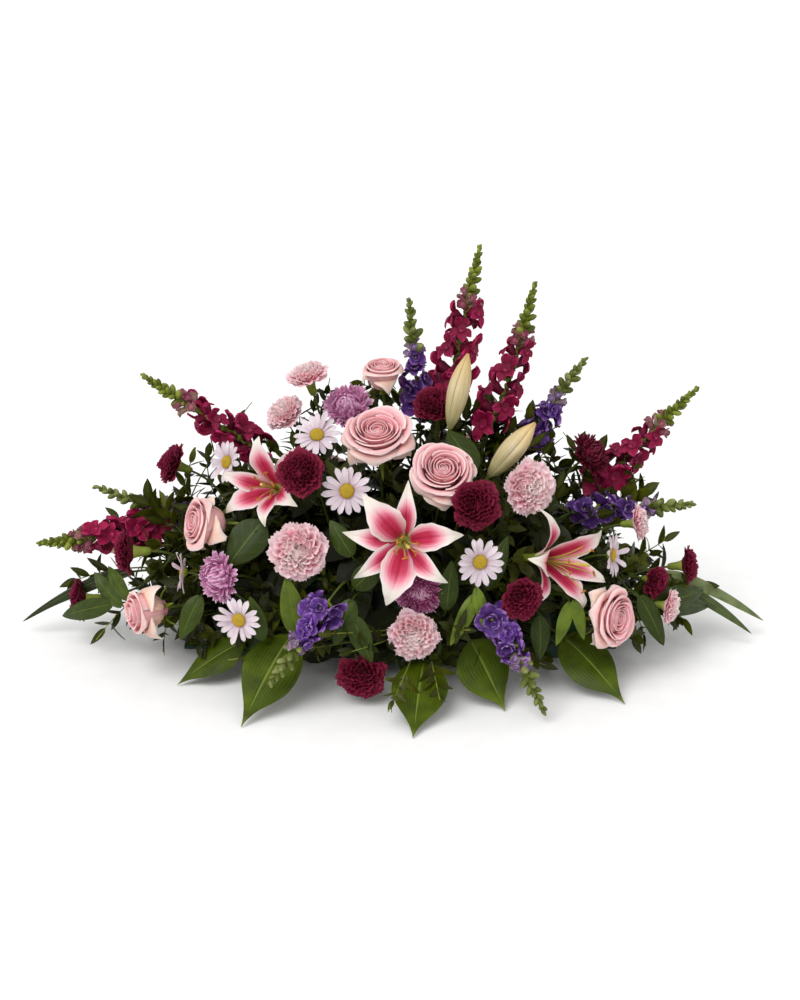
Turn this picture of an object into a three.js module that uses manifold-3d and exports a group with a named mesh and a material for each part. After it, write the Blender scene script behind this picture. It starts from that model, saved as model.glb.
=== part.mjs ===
// A casket spray: cut roses, lilies, carnations, chrysanthemums, daisies, snapdragons and stock,
// with broad leaves and leafy sprigs, standing in a block of wet foam in a casket saddle.
// Millimetres, +Z up. The origin is the middle of the saddle's underside, and -Y faces the viewer.
import * as THREE from "three";
import { mergeVertices } from "three/addons/utils/BufferGeometryUtils.js";
import Module from "manifold-3d";

const wasm = await Module();
wasm.setup();

const TAU = 2 * Math.PI;
const GOLDEN_TURN = TAU * 0.381966;
const UP = new THREE.Vector3(0, 0, 1);
const at = (x, y, z) => new THREE.Vector3(x, y, z);
const radians = THREE.MathUtils.degToRad;

// The viewpoint that places are read from: how far it is, its height above the table as an angle,
// the point that it looks at, and the picture's middle and focal length in pixels.
const VIEW = {
  distance: 2500,
  elevation: radians(20),
  target: at(0, 0, 190),
  middle: [400, 500],
  focal: 2000,
};
// The mound of flower heads: half its length, half its depth and its height.
const MOUND = at(400, 190, 300);
const FOAM = { length: 460, depth: 110, height: 100, bottom: 6 };
const SADDLE = { wall: 3, rim: 34, play: 0.5, lug: 40, lugWidth: 60, lugHeight: 4 };
// How deep a stem stands in the foam, what its hole is wider by, and the stem's straight run outside.
const ROOT = { depth: 22, play: 0.6, straight: 8 };
// Two pieces of this common volume or less count as clear of each other.
const CLEAR_MM3 = 0.004;
// Points that lie this close to a straight edge or a flat face are left out of a finished solid.
const FLATNESS = 0.02;

const COLOURS = {
  rose: 0xf0b3b0,
  carnation_pink: 0xe9a9b8,
  carnation_red: 0x7a0f2c,
  mum: 0xa765a3,
  mum_red: 0x7c1838,
  daisy: 0xece0ee,
  lily: 0xe2708f,
  bud: 0xd9d8a6,
  snapdragon: 0x93103f,
  stock: 0x5a34a0,
  leaf: 0x2f5a1e,
  sprig: 0x3a5c2a,
  foam: 0x2f6b3c,
  saddle: 0x1f3a26,
};

// Flower heads, by kind. seen is the pixel of a head's middle and out is how far it stands out of the mound.
// turn is the way it faces to the viewer's right and tilt is above the horizon, in degrees.
// Rows with the same node are heads of one branching spray.
const HEADS = {
  lily: [
    { node: "lily_centre", seen: [404, 543], out: 34, turn: 0, tilt: 15, width: 146 },
    { node: "lily_left", seen: [272, 487], out: -4, turn: -28, tilt: 26, width: 128 },
    { node: "lily_right", seen: [552, 561], out: -4, turn: 50, tilt: 8, width: 138 },
  ],
  rose: [
    { node: "rose_top", seen: [383, 376], out: 0, turn: -10, tilt: 80, width: 56 },
    { node: "rose_upper", seen: [378, 438], out: 4, turn: -6, tilt: 64, width: 80 },
    { node: "rose_middle", seen: [443, 474], out: 12, turn: 4, tilt: 50, width: 76 },
    { node: "rose_left", seen: [207, 524], out: 8, turn: -62, tilt: 18, width: 70 },
    { node: "rose_far_left", seen: [147, 611], out: 12, turn: -62, tilt: 2, width: 68 },
    { node: "rose_right", seen: [610, 617], out: 14, turn: 50, tilt: 6, width: 70 },
  ],
  carnation_pink: [
    { node: "carnation_pink_front", seen: [298, 552], out: 22, turn: -10, tilt: 10, width: 72 },
    { node: "carnation_pink_low", seen: [414, 636], out: 10, turn: 0, tilt: -4, width: 62 },
    { node: "carnation_pink_right", seen: [530, 488], out: 18, turn: 28, tilt: 15, width: 66 },
    { node: "carnation_spray_pink_top", seen: [307, 374], out: 0, turn: -60, tilt: 72, width: 54 },
    { node: "carnation_spray_pink_top", seen: [284, 412], out: -6, turn: -50, tilt: 48, width: 52 },
    { node: "carnation_spray_pink_right", seen: [640, 523], out: -6, turn: 74, tilt: 10, width: 44 },
    { node: "carnation_spray_pink_right", seen: [671, 607], out: 10, turn: 70, tilt: -4, width: 44 },
  ],
  carnation_red: [
    { node: "carnation_red_upper_left", seen: [300, 473], out: 50, turn: -14, tilt: 24, width: 56 },
    { node: "carnation_red_top", seen: [434, 403], out: 26, turn: 2, tilt: 62, width: 56 },
    { node: "carnation_red_right", seen: [477, 505], out: 26, turn: 14, tilt: 18, width: 60 },
    { node: "carnation_red_left", seen: [171, 463], out: 0, turn: -76, tilt: 26, width: 52 },
    { node: "carnation_red_bottom", seen: [361, 678], out: 8, turn: -8, tilt: -10, width: 60 },
    { node: "carnation_red_low_right", seen: [523, 600], out: 40, turn: 18, tilt: 0, width: 52 },
    { node: "carnation_spray_red_left", seen: [125, 552], out: 46, turn: -84, tilt: 0, width: 56 },
    { node: "carnation_spray_red_left", seen: [79, 600], out: 0, turn: -84, tilt: -4, width: 54 },
    { node: "carnation_spray_red_right", seen: [657, 582], out: 0, turn: 46, tilt: 2, width: 40 },
    { node: "carnation_spray_red_right", seen: [689, 565], out: 0, turn: 82, tilt: 8, width: 48 },
  ],
  mum_red: [
    { node: "mum_red_right", seen: [591, 454], out: 16, turn: 62, tilt: 40, width: 58 },
  ],
  mum: [
    { node: "mum_top", seen: [348, 405], out: 2, turn: -16, tilt: 54, width: 62 },
    { node: "mum_left", seen: [218, 577], out: 14, turn: -46, tilt: 10, width: 60 },
    { node: "mum_centre", seen: [420, 593], out: 2, turn: 4, tilt: 0, width: 56 },
  ],
  daisy: [
    { node: "daisy_spray_top", seen: [317, 435], out: 10, turn: -6, tilt: 48, width: 58 },
    { node: "daisy_spray_top", seen: [347, 491], out: 18, turn: -6, tilt: 16, width: 60 },
    { node: "daisy_left", seen: [227, 462], out: -8, turn: -44, tilt: 20, width: 54 },
    { node: "daisy_right", seen: [480, 562], out: 22, turn: 6, tilt: 10, width: 58 },
    { node: "daisy_spray_low_left", seen: [239, 620], out: 26, turn: -18, tilt: 4, width: 56 },
    { node: "daisy_spray_low_left", seen: [183, 572], out: 6, turn: -92, tilt: 4, width: 48 },
    { node: "daisy_far_right", seen: [612, 555], out: 16, turn: 70, tilt: 6, width: 54 },
  ],
};

// Heads behind the mound, which the viewer doesn't see, by kind, with their places in mm.
const BACK_HEADS = {
  rose: [
    { node: "rose_back", place: [70, 165, 190], turn: 165, tilt: 30, width: 76 },
  ],
  carnation_pink: [
    { node: "carnation_back_pink", place: [-95, 168, 165], turn: -160, tilt: 22, width: 68 },
  ],
  carnation_red: [
    { node: "carnation_back_red", place: [185, 140, 130], turn: 140, tilt: 18, width: 58 },
  ],
  mum: [
    { node: "mum_back", place: [-205, 130, 125], turn: -145, tilt: 18, width: 60 },
  ],
  daisy: [
    { node: "daisy_back", place: [-10, 190, 95], turn: 178, tilt: 8, width: 58 },
  ],
};

// Flower spikes, by kind: the tip and the lowest floret, each as a pixel and a depth in mm, and the share
// of the length that carries closed buds.
const SPIKES = {
  snapdragon: [
    { node: "snapdragon_top", tip: [480, 245, 60], foot: [449, 392, 50], buds: 0.5 },
    { node: "snapdragon_upper_right", tip: [535, 282, 25], foot: [488, 432, 20], buds: 0.46 },
    { node: "snapdragon_right", tip: [698, 387, 30], foot: [592, 492, 52], buds: 0.45 },
    { node: "snapdragon_upper_left", tip: [142, 375, 20], foot: [262, 452, 30], buds: 0.42 },
    { node: "snapdragon_low_left", tip: [38, 543, -10], foot: [160, 528, 26], buds: 0.5 },
  ],
  stock: [
    { node: "stock_top", tip: [409, 298, 50], foot: [419, 412, 66], buds: 0.5 },
    { node: "stock_upper_right", tip: [586, 358, 60], foot: [524, 446, 50], buds: 0.5 },
    { node: "stock_right", tip: [695, 504, 15], foot: [580, 512, 0], buds: 0.46 },
    { node: "stock_left", tip: [94, 486, 60], foot: [202, 522, 50], buds: 0.56 },
    { node: "stock_low_left", tip: [270, 685, -232], foot: [328, 602, -188], buds: 0.55 },
    { node: "stock_low_right", tip: [545, 714, -245], foot: [491, 612, -180], buds: 0.55 },
  ],
};

// Lily buds: tip and foot, each as a pixel and a depth in mm, and the width.
const BUDS = [
  { node: "lily_bud_top", tip: [468, 354, -28], foot: [450, 428, -14], width: 27 },
  { node: "lily_bud_right", tip: [535, 423, -70], foot: [489, 476, -60], width: 28 },
  { node: "lily_bud_left", tip: [92, 544, 84], foot: [153, 549, 76], width: 23 },
];

// Broad leaves: the blade's foot as a pixel and a depth, and its tip as a pixel and a height in mm.
const LEAVES = [
  { node: "leaves_front_left", foot: [246, 640, -110], tip: [177, 685, 2], width: 46 },
  { node: "leaves_front_left", foot: [292, 634, -150], tip: [241, 727, 2], width: 66 },
  { node: "leaf_front_middle", foot: [424, 660, -170], tip: [413, 738, 2], width: 62 },
  { node: "leaves_front_right", foot: [470, 640, -150], tip: [505, 711, 2], width: 66 },
  { node: "leaves_front_right", foot: [562, 636, -110], tip: [625, 704, 2], width: 60 },
];

// Bunches of leafy sprigs. Each bunch stands in one hole of the foam: root is a point inside the foam
// and lean is the way that the bunch comes out of it. A tip is a pixel, a depth and the leaves' length.
const BUNCHES = [
  {
    node: "sprigs_left",
    root: at(-205, 0, 62),
    lean: at(-1, 0, 0.5),
    tips: [
      [22, 622, 20, 80], [66, 584, 60, 44], [96, 640, -70, 46], [112, 512, 52, 40],
      [196, 447, 45, 36], [163, 652, -110, 40], [252, 402, 70, 36],
    ],
  },
  {
    node: "sprigs_right",
    root: at(205, 0, 62),
    lean: at(1, 0, 0.5),
    tips: [
      [764, 621, 10, 80], [752, 634, -20, 70], [712, 592, 30, 50], [670, 537, 30, 42],
      [690, 628, -60, 44], [563, 432, 70, 38], [646, 646, -90, 42],
    ],
  },
  {
    node: "sprigs_front",
    root: at(20, 0, 40),
    lean: at(0, -1, 0.25),
    tips: [
      [388, 712, -264, 32], [318, 634, -215, 40], [440, 700, -245, 34], [470, 630, -225, 32],
      [340, 655, -225, 36], [557, 668, -165, 44], [228, 660, -150, 40],
    ],
  },
  {
    node: "sprigs_back_left",
    root: at(-80, 0, 70),
    lean: at(-0.3, 1, 0.6),
    tips: [[330, 378, 60, 32]],
    fanSide: -1,
  },
  {
    node: "sprigs_back_right",
    root: at(80, 0, 70),
    lean: at(0.3, 1, 0.6),
    tips: [[489, 376, 60, 34]],
    fanSide: 1,
  },
];
// The fans of sprigs that cover the back down to the lid: reach, the leaves' length, and rows of tips, each
// with its share of the reach, its angle of rise and its tips' angles in degrees.
const FAN = {
  reach: at(345, 235, 265),
  leaf: 56,
  stemRings: 1,
  rows: [
    { share: 0.92, rise: -1, turns: [18, 50, 82] },
    { share: 1, rise: 14, turns: [14, 42, 72] },
    { share: 1, rise: 50, turns: [14, 42, 72] },
  ],
};

// Places read from the view.
const lookAhead = at(0, Math.cos(VIEW.elevation), -Math.sin(VIEW.elevation));
const lookUp = at(0, Math.sin(VIEW.elevation), Math.cos(VIEW.elevation));
const eye = VIEW.target.clone().addScaledVector(lookAhead, -VIEW.distance);

function sightLine([px, py]) {
  return at((px - VIEW.middle[0]) / VIEW.focal, 0, 0)
    .addScaledVector(lookUp, (VIEW.middle[1] - py) / VIEW.focal)
    .add(lookAhead)
    .normalize();
}

function atDepth([px, py, depth]) {
  const line = sightLine([px, py]);
  return eye.clone().addScaledVector(line, (depth - eye.y) / line.y);
}

function atHeight([px, py, height]) {
  const line = sightLine([px, py]);
  return eye.clone().addScaledVector(line, (height - eye.z) / line.z);
}

// Where a sight line first meets the mound, or passes nearest to it, less the distance out.
function onMound(seen, out) {
  const line = sightLine(seen);
  const ray = line.clone().divide(MOUND);
  const from = eye.clone().divide(MOUND);
  const middle = -ray.dot(from) / ray.dot(ray);
  const half = middle * middle - (from.dot(from) - 1) / ray.dot(ray);
  return eye.clone().addScaledVector(line, middle - Math.sqrt(Math.max(half, 0)) - out);
}

function facing(turn, tilt) {
  const level = Math.cos(radians(tilt));
  return at(Math.sin(radians(turn)) * level, -Math.cos(radians(turn)) * level, Math.sin(radians(tilt)));
}

// The frame of a piece that is made along +Z: it stands at a place and points forward.
function placing(place, forward) {
  const right = UP.clone().cross(forward).normalize();
  return new THREE.Matrix4().makeBasis(right, forward.clone().cross(right), forward).setPosition(place);
}

// A closed surface from a start point, through rings with equally many points, to an end point.
function loft(start, rings, end) {
  const sides = rings[0].length;
  const points = [start, ...rings.flat(), end];
  const last = points.length - 1;
  const ring = (r, i) => 1 + r * sides + (i % sides);
  const faces = [];
  for (let i = 0; i < sides; i++) {
    faces.push([0, ring(0, i + 1), ring(0, i)]);
    for (let r = 0; r + 1 < rings.length; r++) {
      faces.push([ring(r, i), ring(r, i + 1), ring(r + 1, i + 1)]);
      faces.push([ring(r, i), ring(r + 1, i + 1), ring(r + 1, i)]);
    }
    faces.push([last, ring(rings.length - 1, i), ring(rings.length - 1, i + 1)]);
  }
  const volume = faces.reduce((sum, [a, b, c]) => sum + points[a].dot(points[b].clone().cross(points[c])), 0);
  const outward = volume < 0 ? faces.map(([a, b, c]) => [a, c, b]) : faces;
  const geometry = new THREE.BufferGeometry();
  geometry.setAttribute("position", new THREE.Float32BufferAttribute(points.flatMap((p) => p.toArray()), 3));
  geometry.setIndex(outward.flat());
  return geometry;
}

function solidOf(geometry) {
  const bare = geometry.clone();
  bare.deleteAttribute("normal");
  bare.deleteAttribute("uv");
  const closed = mergeVertices(bare);
  return new wasm.Manifold(
    new wasm.Mesh({
      numProp: 3,
      vertProperties: closed.getAttribute("position").array,
      triVerts: new Uint32Array(closed.index.array),
    }),
  );
}

const join = (solids) => solids.reduce((all, one) => all.add(one));

// For each point of a path, the direction along it, one to its side, and one square to both.
function frames(path, up) {
  return path.map((point, i) => {
    const after = path[Math.min(i + 1, path.length - 1)];
    const before = path[Math.max(i - 1, 0)];
    const along = after.clone().sub(before).normalize();
    const side = along.clone().cross(up).normalize();
    return { point, side, normal: side.clone().cross(along) };
  });
}

// Which way is up for the rings of a path: towards the viewer where the path itself climbs.
function upFor(path) {
  const chord = path.at(-1).clone().sub(path[0]).normalize();
  return Math.abs(chord.z) > 0.8 ? at(0, -1, 0) : UP;
}

function tube(path, radii, sides, up = upFor(path)) {
  const rings = frames(path, up).map(({ point, side, normal }, i) =>
    Array.from({ length: sides }, (_, k) => {
      const angle = (TAU * k) / sides;
      return point
        .clone()
        .addScaledVector(side, radii[i] * Math.cos(angle))
        .addScaledVector(normal, radii[i] * Math.sin(angle));
    }),
  );
  return loft(path[0], rings, path.at(-1));
}

// A thin pointed leaf or petal between a path's two ends, with a width at each point between them.
// Its edges are folded up by a share of its width.
function blade(path, widths, fold, thickness) {
  const rings = frames(path, UP)
    .slice(1, -1)
    .map(({ point, side, normal }, i) => {
      const edge = (hand) =>
        point.clone().addScaledVector(side, (hand * widths[i]) / 2).addScaledVector(normal, fold * widths[i]);
      const face = (hand) => point.clone().addScaledVector(normal, (hand * thickness) / 2);
      return [edge(-1), face(1), edge(1), face(-1)];
    });
  return loft(path[0], rings, path.at(-1));
}

// A head round its own axis with scalloped rings. A ring is [radius, height, scallop, rise, phase], all as
// shares of the head's half width: scallop waves its radius and rise its height.
function scalloped(profile, lobes, sides, size, bottom, top) {
  const rings = profile.map(([radius, height, scallop = 0, rise = 0, phase = 0]) =>
    Array.from({ length: sides }, (_, i) => {
      const angle = (TAU * i) / sides;
      const wave = Math.cos(lobes * angle + phase * Math.PI);
      const r = radius * (1 + scallop * wave) * size;
      return at(r * Math.cos(angle), r * Math.sin(angle), (height + rise * wave) * size);
    }),
  );
  return loft(at(0, 0, bottom * size), rings, at(0, 0, top * size));
}

// Layers of petals, from the calyx out to the guard petals and back in to the middle.
const ROSE = [
  [0.78, -0.42], [1, 0.1, 0.1, 0.07], [0.68, -0.04], [0.76, 0.24, 0.1, 0.05, 1], [0.4, 0.1],
  [0.36, 0.36, 0.12, 0.05],
];
const CARNATION = [
  [0.24, -0.5], [1, -0.06, 0.08, 0.09], [0.58, 0.08], [0.76, 0.34, 0.12, 0.1, 1],
];
const MUM = [
  [0.3, -0.5], [1, -0.14, 0.1, 0.04], [0.72, 0.02], [0.9, 0.26, 0.1, 0.04, 1], [0.5, 0.32],
  [0.5, 0.58, 0.14, 0.04],
];

// A daisy: a star of rays under a domed disc. Its ring has a notch and a tip for each ray.
const DAISY = { rays: 12, notch: 0.42, disc: 0.27 };

function daisyHead(size) {
  const ring = (notch, tip, height, rise) =>
    Array.from({ length: DAISY.rays * 2 }, (_, i) => {
      const angle = (TAU * i) / (DAISY.rays * 2);
      const r = (i % 2 ? tip : notch) * size;
      return at(r * Math.cos(angle), r * Math.sin(angle), (height + (i % 2 ? rise : 0)) * size);
    });
  const under = ring(DAISY.notch, 1, -0.05, 0.1);
  const over = ring(DAISY.notch, 1, 0, 0.1);
  const disc = ring(DAISY.disc, DAISY.disc, 0.03, 0);
  return [loft(at(0, 0, -0.24 * size), [under, over, disc], at(0, 0, 0.2 * size))];
}

// A lily: tepals that arch out of a narrow throat and curl back, six stamens and a pistil.
// Each tepal is the angle that it points to, seen from in front, its share of the full reach, and its
// breadth and how far its tip stands forward, as shares of the head's half width.
const LILY_TEPALS = {
  lily_centre: [
    [8, 0.96, 0.52, 0.2], [86, 1, 0.36, 0.1], [130, 1.02, 0.56, 0.1], [171, 1, 0.38, 0], [216, 1, 0.36, 0],
    [254, 1.04, 0.54, 0.1], [318, 0.95, 0.38, 0.2],
  ],
  lily_left: [
    [340, 0.84, 0.4, 0.4], [62, 1, 0.34, 0.1], [106, 0.9, 0.4, 0.5], [176, 0.9, 0.34, 0.5],
    [222, 0.98, 0.4, 0.3], [286, 0.8, 0.34, 0.5],
  ],
  lily_right: [
    [32, 0.8, 0.4, 0.7], [98, 1, 0.34, 0.1], [160, 0.96, 0.4, 0.3], [222, 1, 0.34, 0], [276, 0.86, 0.4, 0.6],
    [320, 0.76, 0.34, 0.8],
  ],
};
const LILY = {
  reach: [0.05, 0.24, 0.56, 0.84, 1],
  rise: [-0.36, -0.06, 0.12, 0.06, -0.14],
  taper: [0.5, 1, 0.7],
  broad: 0.4,
  broadLift: 0.02,
  flare: 1.5,
  fold: 0.14,
  thickness: 1.6,
  stamens: 6,
};

function lilyTepal([angle, length, breadth, forward], size) {
  const out = at(Math.cos(radians(angle)), Math.sin(radians(angle)), 0);
  const lift = breadth >= LILY.broad ? LILY.broadLift : 0;
  const path = LILY.reach.map((reach, i) => {
    const height = LILY.rise[i] + lift + forward * reach ** LILY.flare;
    return out.clone().multiplyScalar(reach * size * length).setZ(height * size);
  });
  const widths = LILY.taper.map((share) => share * breadth * size);
  return blade(path, widths, LILY.fold, LILY.thickness);
}

function lilyStamen(k, size) {
  const turn = TAU * (k / LILY.stamens + 0.06);
  const foot = at(Math.cos(turn) * 0.02 * size, Math.sin(turn) * 0.02 * size, -0.3 * size);
  const tip = at(Math.cos(turn) * 0.2 * size, Math.sin(turn) * 0.2 * size, 0.3 * size);
  const anther = tip.clone().sub(foot).setLength(0.1 * size);
  return tube([foot, tip, tip.clone().add(anther)], [0.9, 0.9, 2.4], 3);
}

function lilyHead(size, node) {
  const tepals = LILY_TEPALS[node].map((tepal) => lilyTepal(tepal, size));
  const stamens = Array.from({ length: LILY.stamens }, (_, k) => lilyStamen(k, size));
  const receptacle = tube([at(0, 0, -0.62 * size), at(0, 0, -0.2 * size)], [2.6, 0.1 * size], 6);
  const pistil = tube([at(0, 0, -0.3 * size), at(0, 0, 0.42 * size)], [1.6, 2.4], 4);
  return [receptacle, pistil, ...tepals, ...stamens];
}

// Each kind of head: how far its neck is behind its middle, as a share of its half width, the radius of
// its stem, and its pieces.
const roseHead = (size) => [scalloped(ROSE, 5, 15, size, -0.86, 0.2)];
const carnationHead = (size) => [scalloped(CARNATION, 5, 10, size, -1.12, 0.36)];
const mumHead = (size) => [scalloped(MUM, 7, 14, size, -0.52, 0.5)];
const KINDS = {
  rose: { neck: 0.84, stem: 2.8, pieces: roseHead },
  carnation_pink: { neck: 1.1, stem: 2.2, pieces: carnationHead },
  carnation_red: { neck: 1.1, stem: 2.2, pieces: carnationHead },
  mum: { neck: 0.5, stem: 2.4, pieces: mumHead },
  mum_red: { neck: 0.5, stem: 2.4, pieces: mumHead },
  daisy: { neck: 0.2, stem: 1.8, pieces: daisyHead },
  lily: { neck: 0.62, stem: 3, pieces: lilyHead },
};

// The nodes made so far. Adding to a node joins the solids.
const nodes = new Map();

function addTo(node, kind, solid) {
  const made = nodes.get(node);
  nodes.set(node, { kind, solid: made ? made.solid.add(solid) : solid });
}

function boxesMeet(a, b) {
  return [0, 1, 2].every((k) => a.min[k] < b.max[k] && b.min[k] < a.max[k]);
}

function isFree(solid, ownNode) {
  const box = solid.boundingBox();
  return [...nodes].every(([node, other]) => {
    if (node === ownNode || !boxesMeet(box, other.solid.boundingBox())) return true;
    return solid.intersect(other.solid).volume() < CLEAR_MM3;
  });
}

// A head in its place. What it gives back is where its stem starts: at the neck, pointing back.
function plantHead({ node, kind, turn, tilt, width }, place) {
  const forward = facing(turn, tilt);
  const size = width / 2;
  const frame = placing(place, forward);
  addTo(node, kind, join(KINDS[kind].pieces(size, node).map((piece) => solidOf(piece.applyMatrix4(frame)))));
  const neck = place.clone().addScaledVector(forward, 3 - KINDS[kind].neck * size);
  return { node, kind, neck, back: forward.clone().negate(), radius: KINDS[kind].stem };
}

// Flower spikes: open florets low on the stem, and buds that shrink towards its tip.
const SPIKE_KINDS = {
  snapdragon: { florets: 7, floret: 17, buds: 5, bud: 17, stem: 2.4 },
  stock: { florets: 6, floret: 14, buds: 4, bud: 14, stem: 2.2 },
};

// A flared floret with two lips, which points along +Z.
function floret(size) {
  const ring = (radius, height, rise) =>
    [1, 0.8, 1.15, 0.8].map((lip, i) => {
      const angle = (TAU * i) / 4;
      const r = radius * lip * size;
      return at(r * Math.cos(angle), r * Math.sin(angle), (height + rise * Math.cos(2 * angle)) * size);
    });
  return loft(at(0, 0, 0), [ring(0.3, 0.5, 0), ring(0.68, 1.3, 0.14)], at(0, 0, 0.95 * size));
}

function closedBud(length, width) {
  const corner = (i) => at(Math.cos((TAU * i) / 3) * width, Math.sin((TAU * i) / 3) * width, length * 0.5);
  return loft(at(0, 0, 0), [[0, 1, 2].map(corner)], at(0, 0, length));
}

function plantSpike({ node, kind, tip, foot, buds }) {
  const shape = SPIKE_KINDS[kind];
  const base = atDepth(foot);
  const end = atDepth(tip);
  const length = end.distanceTo(base);
  const along = end.clone().sub(base).normalize();
  const frame = placing(base, along);
  const pieces = [tube([base.clone().addScaledVector(along, -6), end], [shape.stem, 1.2], 3)];
  const place = (piece, height, turn, lean) => {
    const out = at(Math.cos(turn) * Math.cos(lean), Math.sin(turn) * Math.cos(lean), Math.sin(lean));
    pieces.push(piece.applyMatrix4(placing(at(0, 0, height), out)).applyMatrix4(frame));
  };
  for (let i = 0; i < shape.florets; i++) {
    const share = i / shape.florets;
    place(floret(shape.floret * (1 - 0.2 * share)), length * (1 - buds) * share, GOLDEN_TURN * i, 0.4);
  }
  for (let i = 0; i < shape.buds; i++) {
    const share = i / shape.buds;
    const size = shape.bud * (1 - 0.4 * share);
    const height = length * (1 - buds * 0.94 * (1 - share));
    place(closedBud(size + 5, size * 0.34), height, GOLDEN_TURN * (shape.florets + i), 0.7 + 0.4 * share);
  }
  addTo(node, kind, join(pieces.map(solidOf)));
  const neck = base.clone().addScaledVector(along, -4);
  return { node, kind, neck, back: along.negate(), radius: shape.stem };
}

// A lily bud: three-ridged and pointed.
const BUD = [[0.2, 0.02], [0.42, 0.2, 0.08], [0.5, 0.5, 0.12], [0.36, 0.8, 0.14]];
const BUD_STEM = 2.4;

function plantBud({ node, tip, foot, width }) {
  const base = atDepth(foot);
  const along = atDepth(tip).sub(base);
  const length = along.length();
  along.normalize();
  const rings = BUD.map(([radius, height, ridge]) => [radius * width, height * length, ridge]);
  const body = scalloped(rings, 3, 6, 1, 0, length).applyMatrix4(placing(base, along));
  addTo(node, "bud", solidOf(body));
  const neck = base.clone().addScaledVector(along, 2);
  return { node, kind: "bud", neck, back: along.negate(), radius: BUD_STEM };
}

// A broad leaf: a folded blade that arches over and droops to its tip.
const LEAF = { widths: [0.62, 0.96, 1, 0.78, 0.42], fold: 0.1, thickness: 2, arch: 0.1, stem: 2.2 };

function plantLeaf({ node, foot, tip, width }) {
  const base = atDepth(foot);
  const end = atHeight(tip);
  const along = end.clone().sub(base);
  const crown = base.clone().lerp(end, 0.4).setZ(base.z * 0.6 + end.z * 0.4 + LEAF.arch * along.length());
  const path = new THREE.QuadraticBezierCurve3(base, crown, end).getPoints(LEAF.widths.length + 1);
  addTo(node, "leaf", solidOf(blade(path, LEAF.widths.map((w) => w * width), LEAF.fold, LEAF.thickness)));
  const neck = base.clone().addScaledVector(along, 0.04);
  return { node, kind: "leaf", neck, back: along.normalize().negate(), radius: LEAF.stem };
}

// Where a straight line from outside towards a point in the foam enters its block.
function foamEntry(from, target) {
  const half = at(FOAM.length, FOAM.depth, FOAM.height).multiplyScalar(0.5);
  const centre = at(0, 0, FOAM.bottom + half.z);
  const along = target.clone().sub(from).normalize();
  const travel = ["x", "y", "z"]
    .map((axis) => (centre[axis] - Math.sign(along[axis]) * half[axis] - from[axis]) / along[axis])
    .filter(Number.isFinite);
  return { entry: from.clone().addScaledVector(along, Math.max(...travel)), along };
}

const holes = [];

function drill(entry, along, radius, sides, up) {
  const mouth = entry.clone().addScaledVector(along, -14);
  const bottom = entry.clone().addScaledVector(along, ROOT.depth + 1);
  holes.push(solidOf(tube([mouth, bottom], [radius, radius], sides, up)));
}

// Stems curve from a neck into the foam. A stem takes the first way that meets no other node: its end may
// shift sideways or up and down in the foam, and its bend may be tighter or swing out. The second head of a
// spray joins the first head's stem instead.
const STEM_SIDES = 3;
const STEM_STEPS = [2, 3, 4];
const SIDE_STEPS = [0, 12, -12, 24, -24, 38, -38, 54, -54, 72, -72, 90, -90];
const RISES = [0, 18, -18];
const PULLS = [0.4, 0.62, 0.2];
const SWINGS = [at(0, 0, 0), at(0, 0, -40), at(40, 0, 0), at(-40, 0, 0), at(0, 0, 40)];
const forks = new Map();

function stemPath(neck, back, { entry, along }, pull, swing, steps) {
  const reach = neck.distanceTo(entry) * pull;
  const outside = entry.clone().addScaledVector(along, -ROOT.straight);
  const leave = neck.clone().addScaledVector(back, reach).add(swing);
  const arrive = outside.clone().addScaledVector(along, -reach);
  const curve = new THREE.CubicBezierCurve3(neck, leave, arrive, outside);
  return [...curve.getPoints(steps), entry.clone().addScaledVector(along, ROOT.depth)];
}

function* stemWays({ node, neck, back }) {
  const fork = forks.get(node);
  for (const steps of STEM_STEPS)
    for (const swing of SWINGS)
      for (const rise of RISES)
        for (const step of SIDE_STEPS)
          for (const pull of PULLS) {
            if (fork) {
              const bend = neck.clone().addScaledVector(back, 30 * pull + step).add(swing);
              yield { path: new THREE.QuadraticBezierCurve3(neck, bend, fork).getPoints(steps) };
              continue;
            }
            const target = at(THREE.MathUtils.clamp(neck.x * 0.52 + step, -212, 212), 0, 62 + rise);
            const root = foamEntry(neck, target);
            yield { path: stemPath(neck, back, root, pull, swing, steps), root };
          }
}

function growStem(start) {
  const { node, kind, radius } = start;
  for (const { path, root } of stemWays(start)) {
    const wide = solidOf(tube(path, path.map(() => radius + ROOT.play), STEM_SIDES));
    if (!isFree(wide, node)) continue;
    addTo(node, kind, solidOf(tube(path, path.map(() => radius), STEM_SIDES)));
    if (root) {
      drill(root.entry, root.along, radius + ROOT.play, STEM_SIDES, upFor(path));
      forks.set(node, path[1]);
    }
    return;
  }
  throw new Error("no free way for the stem of " + node);
}

// Leafy sprigs. A sprig is one thin three-sided piece: a stem whose two upper edges widen into pairs of
// slanting leaves, with one more leaf at its tip. A station is where along the sprig a ring stands, half its
// width, and how far forward its edges reach.
const SPRIG = {
  pairs: 3,
  gap: 0.44,
  tipLeaf: 0.8,
  spread: 0.62,
  slant: 0.36,
  stem: 1.5,
  keel: 1.3,
  stemRings: 2,
  room: 0.5,
};

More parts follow.
